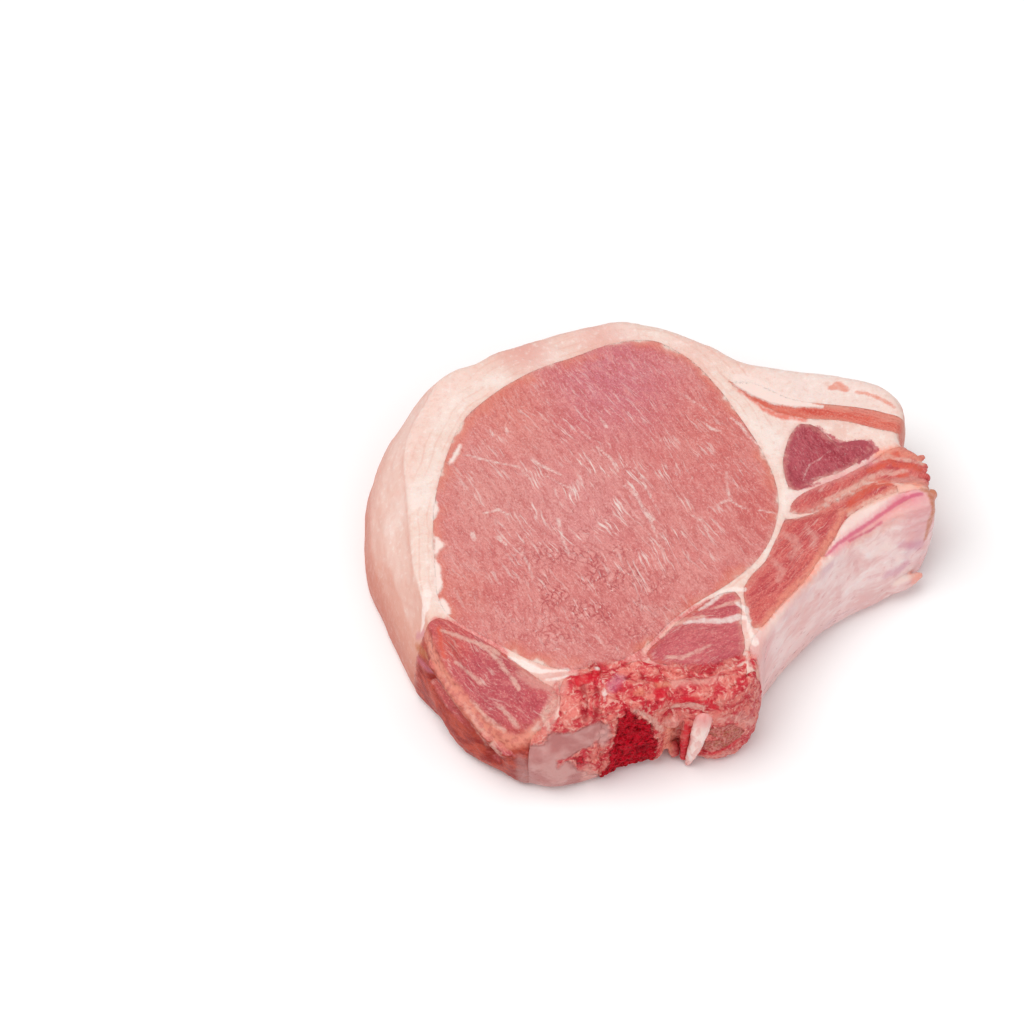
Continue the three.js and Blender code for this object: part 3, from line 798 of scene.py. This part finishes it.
def stirred(tree, place, size, amount):
    # moves the pattern about by up to `amount` mm
    swirl = cloud(tree, place, size, detail=1.0, output=1)
    centred = addNode(tree, "VectorMath", {0: swirl, 1: (0.5, 0.5, 0.5)}, operation="SUBTRACT").outputs[0]
    pushed = addNode(tree, "VectorMath", {0: centred, "Scale": amount * 2 * mm}, operation="SCALE").outputs[0]
    return addNode(tree, "VectorMath", {0: place, 1: pushed}, operation="ADD").outputs[0]


def cellEdges(tree, place, size, turn=0):
    return addNode(
        tree, "TexVoronoi", {"Vector": scaled(tree, place, size, turn), "Scale": 1.0, "Randomness": 1.0},
        feature="DISTANCE_TO_EDGE",
    ).outputs["Distance"]


def spot(tree, place, centre, radius):
    # 1 at the centre, 0 beyond the radius, seen from above
    flat = addNode(tree, "VectorMath", {0: place, 1: (1, 1, 0)}, operation="MULTIPLY").outputs[0]
    middle = (centre[0] * mm, centre[1] * mm, 0)
    away = addNode(tree, "VectorMath", {0: flat, 1: middle}, operation="DISTANCE").outputs["Value"]
    return between(tree, away, radius * mm, 0.0)


def addSpots(tree, place, colour, spots):
    for centre, radius, code, strength in spots:
        colour = mixTint(tree, times(tree, spot(tree, place, centre, radius), strength), colour, code)
    return colour


def upPart(tree, vector):
    return addNode(tree, "SeparateXYZ", {0: vector}).outputs["Z"]


def facingUp(tree):
    return upPart(tree, addNode(tree, "NewGeometry").outputs["Normal"])


def roughFrom(tree, pattern, glossy, dull):
    return addNode(tree, "MapRange", {
        "Value": pattern, "From Min": 0.3, "From Max": 0.7, "To Min": glossy, "To Max": dull,
    }).outputs[0]


def newMaterial(name):
    material = bpy.data.materials.new(name)
    material.use_nodes = True
    tree = material.node_tree
    tree.nodes.clear()
    place = addNode(tree, "TexCoord").outputs["Object"]
    return material, tree, place


def finishMaterial(tree, colour, finish, heights, roughness):
    # heights is a list of (height socket, depth in mm), broad ones first
    bumped = None
    for height, depth in heights:
        inputs = {"Height": height, "Strength": 1.0, "Distance": depth * mm}
        if bumped:
            inputs["Normal"] = bumped
        bumped = addNode(tree, "Bump", inputs).outputs[0]
    skin = addNode(tree, "BsdfPrincipled", {
        "Base Color": colour,
        "Roughness": roughness,
        "Normal": bumped,
        "Subsurface Weight": finish["glow"],
        "Subsurface Radius": (1.0, 0.35, 0.25),
        "Subsurface Scale": finish["glowDepth"] * mm,
        "Specular IOR Level": finish["gloss"],
        "Coat Weight": finish["coat"],
        "Coat Roughness": finish["coatRoughness"],
    })
    out = addNode(tree, "OutputMaterial")
    tree.links.new(skin.outputs[0], out.inputs["Surface"])


meatFinish = {"glow": 0.1, "glowDepth": 0.7, "gloss": 0.2, "coat": 0.05, "coatRoughness": 0.2}
fatFinish = {"glow": 0.12, "glowDepth": 0.8, "gloss": 0.2, "coat": 0.04, "coatRoughness": 0.28}
liningFinish = {"glow": 0.15, "glowDepth": 0.9, "gloss": 0.3, "coat": 0.16, "coatRoughness": 0.14}
tornFinish = {"glow": 0.06, "glowDepth": 0.5, "gloss": 0.1, "coat": 0.05, "coatRoughness": 0.1}
marrowFinish = {"glow": 0.0, "glowDepth": 0.3, "gloss": 0.02, "coat": 0.03, "coatRoughness": 0.08}


def around(tree, value, amount):
    # a noise value moved to lie around zero, times `amount`
    return times(tree, calc(tree, "SUBTRACT", value, 0.5), amount)


# marks over every piece: layer, colour, softness in mm, strength, how broken up, how far it wanders
markLook = [
    ("roseMark", "e68c98", 2.0, 0.75, 0.2, 1.0),
    ("paleMark", "eaa79c", 1.2, 0.6, 0.4, 1.0),
    ("lilacMark", "c48a86", 2.2, 0.85, 0.2, 1.4),
    ("orangeMark", "f59c86", 1.5, 0.8, 0.5, 1.0),
    ("warmMark", "e4604a", 0.8, 0.75, 0.4, 0.8),
    # the valley mark is painted shade under the ridge of the feather muscle
    ("paintedValleyShadeMark", "b43a28", 1.6, 0.8, 0.3, 1.0),
    ("brownMark", "c46c40", 0.9, 0.85, 0.3, 0.6),
    ("purpleMark", "cc7492", 1.4, 0.5, 0.0, 1.0),
    ("redMark", "d81f30", 0.6, 0.85, 0.3, 1.0),
    ("magentaMark", "cc4a70", 0.6, 0.7, 0.0, 0.45),
    ("darkMark", "a01020", 0.8, 0.8, 0.2, 0.8),
    ("plumMark", "b84e5a", 0.5, 0.9, 0.2, 1.4),
    ("fatMark", "f3d9d0", 0.8, 1.0, 0.0, 1.1),
    ("creamMark", "f4c6b6", 0.6, 0.65, 0.5, 0.7),
    ("whiteMark", "fae6df", 0.5, 0.8, 0.25, 0.7),
    ("softMark", "e4856e", 0.6, 0.75, 0.2, 0.8),
    ("threadMark", "f6d8d0", 0.4, 0.75, 0.6, 0.5),
]


def addMarks(tree, place, colour):
    # strokes wander a little, fray along their edges and break up
    slow = around(tree, cloud(tree, place, 1.7, detail=3.0), 1.1)
    shift = plus(tree, slow, around(tree, cloud(tree, place, 0.5, detail=2.0), 0.55))
    broken = between(tree, cloud(tree, place, 1.1, detail=3.0), 0.36, 0.56)
    for name, code, soft, strength, breaks, wander in markLook:
        away = calc(tree, "MULTIPLY_ADD", shift, wander, layer(tree, name))
        amount = between(tree, away, soft, -0.05, strength)
        if breaks:
            amount = times(tree, amount, calc(tree, "MULTIPLY_ADD", broken, breaks, 1 - breaks))
        colour = mixTint(tree, amount, colour, code)
    return colour


tissueLook = {
    "deep": "ce3640", "mid": "e67e74", "pale": "f7b8aa", "dark": "a41824",
    "paleness": 0.8, "broad": 2.8, "fine": 0.95,
}


def tornColour(tree, place):
    look = tissueLook
    wavy = stirred(tree, place, 3.0, 1.4)
    broad = cloud(tree, wavy, look["broad"], detail=3.0)
    colour = blend(tree, broad, 0.4, 0.6, look["deep"], look["mid"])
    fine = cloud(tree, wavy, look["fine"], detail=4.0, rough=0.65)
    pale = (0.5, 0.66, look["paleness"], look["pale"])
    colour = washed(tree, colour, fine, pale, (0.46, 0.3, 0.75, look["dark"]))
    return colour, broad, fine


def addTorn(tree, place, colour):
    fray = around(tree, cloud(tree, place, 2.2, detail=4.0, rough=0.6), 3.5)
    where = between(tree, plus(tree, layer(tree, "tornMark"), fray), 0.7, -0.5)
    torn, _, fine = tornColour(tree, place)
    return mixTint(tree, where, colour, torn), times(tree, where, fine)


def meatColour(tree, place, look):
    turn = look["turn"]
    bent = stirred(tree, place, 22.0, 3.0)
    wavy = stirred(tree, bent, 4.0, 0.7)
    # broad blotches, then bundles of fibres, then grain
    blotch = cloud(tree, wavy, look["blotch"], turn, detail=3.0, rough=0.6)
    colour = blend(tree, blotch, 0.36, 0.64, look["deep"], look["pale"])
    colour = addSpots(tree, place, colour, look["spots"])
    bundles = cloud(tree, wavy, look["bundle"], turn, detail=4.0, rough=0.65)
    colour = washed(tree, colour, bundles, (0.5, 0.64, 0.5, look["light"]), (0.5, 0.36, 0.5, look["shade"]))
    grain = cloud(tree, place, look["grain"], turn, detail=4.0, rough=0.75)
    colour = washed(tree, colour, grain, (0.53, 0.64, 0.65, look["fleck"]), (0.47, 0.36, 0.55, look["shade"]))
    # faint net of cracks between the bundles, never all the way round
    netWhere = between(tree, cloud(tree, place, 5.0, detail=2.0), 0.38, 0.6, look["net"])
    near = spot(tree, place, *look["netSpot"])
    netWhere = times(tree, calc(tree, "MULTIPLY_ADD", near, 1.4, 0.15), netWhere)
    ragged = around(tree, cloud(tree, place, 0.6, detail=3.0), 0.35)
    cells = plus(tree, cellEdges(tree, stirred(tree, wavy, 1.8, 1.1), look["cell"], turn), ragged)
    crack = times(tree, between(tree, cells, 0.12, 0.0), netWhere)
    colour = mixTint(tree, times(tree, crack, 0.55), colour, look["crack"])
    colour = washed(tree, colour, cells, (0.16, 0.42, 0.32, look["fleck"]), where=netWhere)
    specks = cloud(tree, wavy, (0.55, 0.8, 0.8), turn)
    colour = washed(tree, colour, specks, (0.62, 0.72, 0.5, look["fat"]), where=netWhere)
    # pale spindles of fat along the fibres
    spindle = cloud(tree, wavy, look["thread"], turn, detail=3.0, rough=0.55)
    spindleWhere = between(tree, cloud(tree, place, 6.0, detail=1.0), 0.36, 0.62, look["marbling"])
    spindleWhere = times(tree, spindleWhere, plus(tree, spot(tree, place, *look["marbleSpot"]), 0.2))
    colour = washed(tree, colour, spindle, (0.54, 0.66, 1.0, look["fat"]), where=spindleWhere)
    return colour, bundles, grain, crack


def meatMaterial(name, look):
    material, tree, place = newMaterial(name)
    colour, bundles, grain, crack = meatColour(tree, place, look)
    if "side" in look:
        # the outer side is rawer than the cut face; its tint is also partly painted shade of the wall, and
        # the fold pattern paints lighter highlights and darker valleys of shade
        paintedFoldShading = cloud(tree, stirred(tree, place, 5.0, 2.0), (4, 4, 2.2), detail=4.0, rough=0.6)
        side = blend(tree, paintedFoldShading, 0.4, 0.62, look["side"], look["sideHighlight"])
        side = washed(tree, side, grain, (0.5, 0.36, 0.4, look["sideDeep"]))
        colour = blend(tree, facingUp(tree), 0.72, 0.38, colour, side)
    # fat creeps in from the seams, in scallops
    scallop = around(tree, cloud(tree, place, look["scallop"], detail=2.0, rough=0.5), look["creep"])
    seam = plus(tree, layer(tree, "seamAway"), scallop)
    rimWhere = between(tree, cloud(tree, place, 11.0, detail=1.0), 0.42, 0.58, look["rim"])
    colour = washed(tree, colour, seam, (look["rimWidth"], 0.1, 1.0, look["rimTint"]), where=rimWhere)
    melt = calc(tree, "SUBTRACT", 1.0, between(tree, layer(tree, "blushMark"), 2.2, 0.6))
    fatty = [(1.9, -0.9, 0.65, look["seamSoft"]), (0.5, -0.5, 0.95, look["seamFat"])]
    colour = washed(tree, colour, seam, *fatty, where=melt)
    colour, tornHeight = addTorn(tree, place, colour)
    colour = addMarks(tree, place, colour)
    rough = roughFrom(tree, grain, *look["roughness"])
    # the fibres don't show in relief where fat lies over them
    bare = between(tree, layer(tree, "fatMark"), -0.2, 0.9)
    bundles, grain = (times(tree, pattern, bare) for pattern in (bundles, grain))
    heights = [(tornHeight, 0.5), (bundles, 0.35), (crack, -0.03), (grain, 0.3)]
    finishMaterial(tree, colour, meatFinish, heights, rough)
    return material


loinLook = {
    "deep": "dc7b78", "pale": "e5928c", "light": "ec9e97", "shade": "c9625f", "fleck": "f6bab1",
    "crack": "bb4c50", "fat": "f8dcd5", "rimTint": "e98068", "seamFat": "f5d8cc", "seamSoft": "ecb0a2",
    "turn": 30, "blotch": (8, 15, 12), "bundle": (0.9, 3.4, 3), "grain": (0.34, 0.55, 0.5),
    "cell": (1.2, 1.9, 2), "net": 1.0, "netSpot": ((-14, -22), 34),
    "thread": (0.5, 5.5, 4), "marbling": 0.85, "marbleSpot": ((-10, 2), 46),
    "scallop": 3.4, "creep": 4.4, "rim": 0.6, "rimWidth": 4.0, "roughness": (0.34, 0.52),
    "spots": [
        ((-8, 36), 28, "d67886", 0.85),
        ((-34, 2), 26, "e8a098", 0.55),
        ((18, 22), 22, "dc776f", 0.65),
        ((24, 0), 16, "d56660", 0.65),
        ((-14, -26), 22, "dd827e", 0.6),
        ((-30, 28), 16, "e68676", 0.5),
        ((-16, 0), 22, "e6a19f", 0.55),
        ((-42, -22), 12, "de7a6a", 0.5),
    ],
}
darkLook = dict(
    loinLook,
    deep="b3434f", pale="c15560", light="cb6970", shade="9a3440", fleck="d58388", crack="8c2f3b",
    fat="ebc3be", rimTint="c4565a", seamFat="efd0c6", spots=[],
    thread=(0.4, 2.4, 2), marbling=0.15, marbleSpot=((40, 12), 30), net=0.3, netSpot=((40, 14), 30),
    scallop=1.5, creep=2.2, rim=0.4, rimWidth=1.2,
)
featherLook = dict(
    loinLook,
    deep="c9505a", pale="d86666", light="e28480", shade="b84c52", fleck="eaa39b", crack="a8444a",
    fat="f0cabf", rimTint="dc6c58", seamFat="eccdc0", turn=49,
    spots=[((-34, -44), 14, "bd4f58", 0.6), ((-44, -35), 8, "d95f4c", 0.7)],
    thread=(0.4, 3.4, 3), marbling=0.45, marbleSpot=((-34, -42), 30), net=0.3, netSpot=((-30, -42), 30),
    # the side tint is partly painted shade of the wall, and sideHighlight is a painted highlight on its folds
    scallop=1.8, creep=2.4, rim=0.5, rimWidth=1.6, side="a22a20", sideHighlight="c8503c", sideDeep="841c16",
)
ribMeatLook = dict(
    loinLook,
    deep="cf5456", pale="df6c64", light="ea8880", shade="bb434a", fleck="f0a094", crack="a8343e",
    fat="f2c6ba", rimTint="e2735a", seamFat="efcfc3", spots=[], turn=-44, bundle=(0.7, 6, 4),
    thread=(0.36, 4, 4), marbling=0.5, marbleSpot=((44, 0), 34), net=0.2, netSpot=((40, 0), 30),
    scallop=1.3, creep=2.0, rim=0.6, rimWidth=1.4,
)
lowLook = dict(
    featherLook,
    # side tints here are partly painted shade, with sideHighlight as painted highlight on the folds
    deep="c8525e", pale="d86a70", side="c8605a", sideHighlight="dc8078", turn=-65,
    spots=[((8, -27), 10, "dc7b78", 0.6)], marbleSpot=((10, -32), 24), netSpot=((10, -32), 24),
)
tailLook = dict(
    ribMeatLook,
    deep="e25f4e", pale="ea7966", light="f0917f", shade="d04a3e", seamFat="eba08c", turn=75, creep=0.9,
)


def fatMaterial(name, look):
    material, tree, place = newMaterial(name)
    wavy = stirred(tree, place, 9.0, 1.6)
    eyeAway = layer(tree, "eyeAway")
    level, height = facingUp(tree), upPart(tree, place)
    # creamy by the eye and over the tail, pinker towards the outer side and down the walls
    warmth = cloud(tree, wavy, 12.0, detail=3.0)
    colour = blend(tree, warmth, 0.38, 0.62, look["cream"], look["creamWarm"])
    outer = calc(tree, "MULTIPLY_ADD", cloud(tree, wavy, 7.0), 3.0, eyeAway)
    colour = washed(tree, colour, outer, (5.5, 9.5, 0.45, look["outer"]))
    colour = addSpots(tree, place, colour, look["spots"])
    side = between(tree, level, 0.75, 0.25)
    colour = mixTint(tree, times(tree, side, 0.85), colour, look["side"])
    colour = washed(tree, colour, height, (18 * mm, 3 * mm, 0.85, look["sideLow"]), where=side)
    # layer lines that follow the eye
    wave = calc(tree, "MULTIPLY_ADD", cloud(tree, place, 8.0), 2.4, eyeAway)
    bands = calc(tree, "SINE", times(tree, wave, 3.1))
    flat = between(tree, level, 0.4, 0.8)
    bandWhere = times(tree, between(tree, cloud(tree, place, 12.0), 0.42, 0.6), flat)
    colour = washed(tree, colour, bands, (0.6, 1.0, 0.32, look["line"]), where=bandWhere)
    mottle = cloud(tree, place, 1.5, detail=4.0, rough=0.65)
    dry = calc(tree, "SUBTRACT", 1.0, times(tree, side, 0.7))
    colour = washed(tree, colour, mottle, (0.52, 0.7, 0.35, look["white"]), where=dry)
    colour = washed(tree, colour, mottle, (0.48, 0.34, 0.3, look["line"]))
    # meat shows through at ragged seams, and covers the thinnest ones
    lobe = around(tree, cloud(tree, place, 2.4, detail=4.0, rough=0.6), 2.6)
    seam = calc(tree, "SUBTRACT", layer(tree, "seamAway"), lobe)
    colour = washed(tree, colour, seam, (1.5, -0.4, 0.45, look["blush"]))
    meat = meatColour(tree, place, loinLook)[0]
    covered = plus(tree, layer(tree, "blushMark"), around(tree, cloud(tree, place, 1.8, detail=3.0), 1.6))
    colour = washed(tree, colour, covered, (0.9, -0.2, 1.0, meat), where=flat)
    colour, tornHeight = addTorn(tree, place, colour)
    colour = addMarks(tree, place, colour)
    soft, fine = cloud(tree, wavy, 4.0, detail=3.0), cloud(tree, place, 0.4, detail=2.0)
    heights = [(tornHeight, 0.5), (soft, 0.35), (mottle, 0.18), (fine, 0.06)]
    finishMaterial(tree, colour, fatFinish, heights, roughFrom(tree, mottle, 0.38, 0.56))
    return material


fatLook = {
    "cream": "f2ded5", "creamWarm": "edd0c4", "outer": "edbeb0", "side": "dc9480", "sideLow": "c66a56",
    "line": "e2ab9b", "white": "fbf1ec", "blush": "e8a596",
    "spots": [
        ((40, 34), 24, "f0ddd6", 0.7),
        ((-27, 43), 11, "e0a094", 0.85),
        ((-10, 47), 13, "e4a69a", 0.7),
        ((12, 44), 12, "eab8ac", 0.5),
        ((-20, -42), 10, "dd8a80", 0.6),
        ((-47, -32), 12, "e8b4a0", 0.6),
        ((22, -28), 10, "e9b0aa", 0.6),
    ],
}


def ribMaterial(name, look):
    material, tree, place = newMaterial(name)
    wavy = stirred(tree, place, 7.0, 2.0)
    level, height = facingUp(tree), upPart(tree, place)
    # smooth lining on the wall, cream strip along the upper edge
    veil = cloud(tree, wavy, (9, 9, 4), detail=3.0, rough=0.6)
    colour = blend(tree, veil, 0.38, 0.62, look["veil"], look["veilPale"])
    colour = washed(tree, colour, cloud(tree, wavy, (14, 14, 7)), (0.54, 0.68, 0.6, look["blue"]))
    colour = washed(tree, colour, height, (11 * mm, 2 * mm, 0.5, look["low"]))
    wisps = cloud(tree, wavy, (4, 4, 1.8), detail=4.0, rough=0.55)
    colour = washed(tree, colour, wisps, (0.52, 0.7, 0.55, look["wisp"]), (0.48, 0.32, 0.35, look["flush"]))
    colour = washed(tree, colour, level, (0.35, 0.75, 0.8, look["cream"]))
    colour = addSpots(tree, place, colour, look["spots"])
    colour, tornHeight = addTorn(tree, place, colour)
    colour = addMarks(tree, place, colour)
    heights = [(tornHeight, 0.4), (veil, 0.4), (wisps, 0.25), (cloud(tree, place, 0.5, detail=2.0), 0.05)]
    finishMaterial(tree, colour, liningFinish, heights, roughFrom(tree, wisps, 0.24, 0.42))
    return material


ribLook = {
    "veil": "e8bab7", "veilPale": "f3d5d2", "blue": "dabac2", "low": "dfa6a3",
    "wisp": "f8e8e5", "flush": "e09a9a", "cream": "f3d6cd",
    "spots": [((22, -38), 12, "dc8f8c", 0.6), ((58, 2), 9, "e07e88", 0.5), ((30, -22), 10, "e6a6a0", 0.4)],
}


# the broken wall round the backbone: torn tissue with gristle, gritty bone and spongy marrow in it
wallLook = {
    "gristle": ("b97673", "cf9994"),
    "gristleFlush": "d3807a",
    "bone": ("c04a44", "e8968c"),
    "boneBrown": "b0683a",
    "marrow": ("ac0012", "d60a26"),
    "marrowDark": "640008",
    "marrowWeb": "dc4854",
}


def wallMaterial(name, finish=tornFinish):
    material, tree, place = newMaterial(name)
    look = wallLook
    colour, broad, fine = tornColour(tree, place)
    ragged = around(tree, cloud(tree, place, 1.2, detail=4.0, rough=0.65), 2.4)
    smooth = plus(tree, layer(tree, "gristleMark"), around(tree, cloud(tree, place, 3.0, detail=3.0), 3.0))
    smooth = between(tree, smooth, 0.7, -0.6)
    veil = cloud(tree, stirred(tree, place, 6.0, 2.0), 5.0, detail=3.0)
    gristle = blend(tree, veil, 0.38, 0.62, *look["gristle"])
    gristle = washed(tree, gristle, fine, (0.54, 0.7, 0.25, look["gristleFlush"]))
    colour = mixTint(tree, smooth, colour, gristle)
    gritty = between(tree, plus(tree, layer(tree, "boneMark"), ragged), 0.5, -0.3, 0.9)
    grit = cloud(tree, place, 0.6, detail=4.0, rough=0.7)
    bone = blend(tree, grit, 0.42, 0.6, *look["bone"])
    bone = washed(tree, bone, cloud(tree, place, 1.6), (0.5, 0.62, 0.45, look["boneBrown"]))
    colour = mixTint(tree, gritty, colour, bone)
    spongy = between(tree, plus(tree, layer(tree, "marrowMark"), ragged), 0.25, -0.2)
    pits = cloud(tree, stirred(tree, place, 1.6, 0.7), 1.0, detail=3.0, rough=0.6)
    marrow = blend(tree, pits, 0.42, 0.6, *look["marrow"])
    web = cellEdges(tree, stirred(tree, place, 1.0, 0.6), 0.9)
    marrow = washed(tree, marrow, web, (0.12, 0.0, 0.4, look["marrowWeb"]))
    marrow = washed(tree, marrow, pits, (0.45, 0.32, 0.85, look["marrowDark"]))
    colour = mixTint(tree, spongy, colour, marrow)
    colour = addMarks(tree, place, colour)
    dull = calc(tree, "SUBTRACT", 1.0, times(tree, smooth, 0.9))
    rubble = times(tree, plus(tree, pits, grit), plus(tree, spongy, gritty))
    heights = [(times(tree, broad, dull), 0.6), (times(tree, fine, dull), 0.5), (rubble, 0.45)]
    finishMaterial(tree, colour, finish, heights, roughFrom(tree, fine, 0.2, 0.42))
    return material


def nerveMaterial(name, look):
    material, tree, place = newMaterial(name)
    veil = cloud(tree, stirred(tree, place, 4.0, 1.0), (1.4, 1.4, 5), detail=3.0)
    colour = blend(tree, veil, 0.4, 0.62, look["deep"], look["pale"])
    height = upPart(tree, place)
    lower, upper = (6 * mm, 1 * mm, 0.5, look["flush"]), (15 * mm, 19 * mm, 0.6, look["flush"])
    colour = washed(tree, colour, height, lower, upper)
    finishMaterial(tree, colour, liningFinish, [(veil, 0.15)], roughFrom(tree, veil, 0.2, 0.34))
    return material


nerveLook = {"deep": "ecb8b0", "pale": "f6dcd4", "flush": "dc6a6a"}

print("stage: materials")
dressing = {
    "loin_eye": ("cut_loin_eye", meatMaterial("cut_loin", loinLook), "loin_meat"),
    "dark_side_muscle": ("cut_side_muscle", meatMaterial("dark_muscle", darkLook), "dark_meat"),
    "lower_muscle": ("cut_lower_muscle", meatMaterial("lower_muscle_meat", lowLook), "dark_meat"),
    "feather_muscle": ("cut_feather_muscle", meatMaterial("feather_meat", featherLook), "dark_meat"),
    "tail_streak": ("cut_tail_streak", meatMaterial("tail_meat", tailLook), "rib_meat"),
    "upper_rib_meat": ("cut_upper_rib_meat", meatMaterial("upper_rib_muscle", ribMeatLook), "rib_meat"),
    "lower_rib_meat": ("cut_lower_rib_meat", meatMaterial("lower_rib_muscle", ribMeatLook), "rib_meat"),
    "spinal_tissue": ("torn_spinal_tissue", wallMaterial("torn_tissue"), "torn_tissue"),
    "gristle": ("smooth_gristle", wallMaterial("gristle_sheen"), "gristle"),
    "spongy_bone": ("red_spongy_bone", wallMaterial("red_marrow", marrowFinish), "marrow"),
    "backbone_end": ("rough_backbone_end", wallMaterial("rough_bone"), "cut_bone"),
    "rib_bone": ("lined_rib", ribMaterial("rib_lining", ribLook), "rib_lining"),
    "nerve_strip": ("pale_nerve_strip", nerveMaterial("pale_nerve", nerveLook), "nerve"),
    "back_fat": ("cut_back_fat", fatMaterial("creamy_fat", fatLook), "fat"),
}
for node, (pieceName, material, slotName) in dressing.items():
    piece = pieces[node]
    piece.name = pieceName
    piece.data.name = pieceName
    piece.data.materials.clear()
    piece.data.materials.append(material)
    piece.vertex_groups.clear()
    onlySelect(piece)
    bpy.ops.object.shade_smooth_by_angle(angle=math.radians(bodyLook["smoothAngle"]), keep_sharp_edges=False)
    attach(piece, "root")
    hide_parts(node)

print("stage: table top, light and camera")
studio = {
    "floorSize": 12.0,  # m, as the places and sizes of the lamps
    "floorDrop": 0.00005,
    "floor": {"Base Color": tint("ffffff"), "Roughness": 0.6, "Specular IOR Level": 0.2},
    "sky": 0.465,
    "key": {"at": (-0.45, -0.1, 1.3), "size": 1.0, "power": 12.5},
    "fill": {"at": (0.7, -0.8, 0.9), "size": 1.2, "power": 3.6},
}
cameraView = {  # mm and degrees
    "aim": (-29.95, 3.97, 17.93),
    "distance": 625.8,
    "above": 55,
    "lens": 100,
    "film": 36,
}

bpy.ops.object.select_all(action="DESELECT")
bpy.ops.mesh.primitive_plane_add(size=studio["floorSize"], location=(0, 0, -studio["floorDrop"]))
floor = bpy.context.active_object
floor.name = "table_top"
bpy.ops.object.transform_apply(location=True, rotation=True, scale=True)
floorMaterial, floorTree, _ = newMaterial("white_table")
floorSkin = addNode(floorTree, "BsdfPrincipled", studio["floor"])
floorOut = addNode(floorTree, "OutputMaterial")
floorTree.links.new(floorSkin.outputs[0], floorOut.inputs["Surface"])
floor.data.materials.append(floorMaterial)

for name in ("key", "fill"):
    look = studio[name]
    lampData = bpy.data.lights.new(name + "_softbox", "AREA")
    lampData.size = look["size"]
    lampData.energy = look["power"]
    lamp = bpy.data.objects.new(name + "_softbox", lampData)
    lamp.location = look["at"]
    lamp.rotation_euler = Vector(look["at"]).to_track_quat("Z", "Y").to_euler()
    bpy.context.scene.collection.objects.link(lamp)
world = bpy.data.worlds.new("soft_room")
world.use_nodes = True
sky = world.node_tree.nodes["Background"]
sky.inputs["Color"].default_value = (1, 1, 1, 1)
sky.inputs["Strength"].default_value = studio["sky"]
bpy.context.scene.world = world
bpy.context.scene.view_settings.view_transform = "Standard"

cameraData = bpy.data.cameras.new("camera")
cameraData.lens = cameraView["lens"]
cameraData.sensor_width = cameraView["film"]
camera = bpy.data.objects.new("camera", cameraData)
rise = math.radians(cameraView["above"])
backwards = Vector((0, -math.cos(rise), math.sin(rise)))
camera.location = (Vector(cameraView["aim"]) + backwards * cameraView["distance"]) * mm
camera.rotation_euler = backwards.to_track_quat("Z", "Y").to_euler()
bpy.context.scene.collection.objects.link(camera)
bpy.context.scene.camera = camera
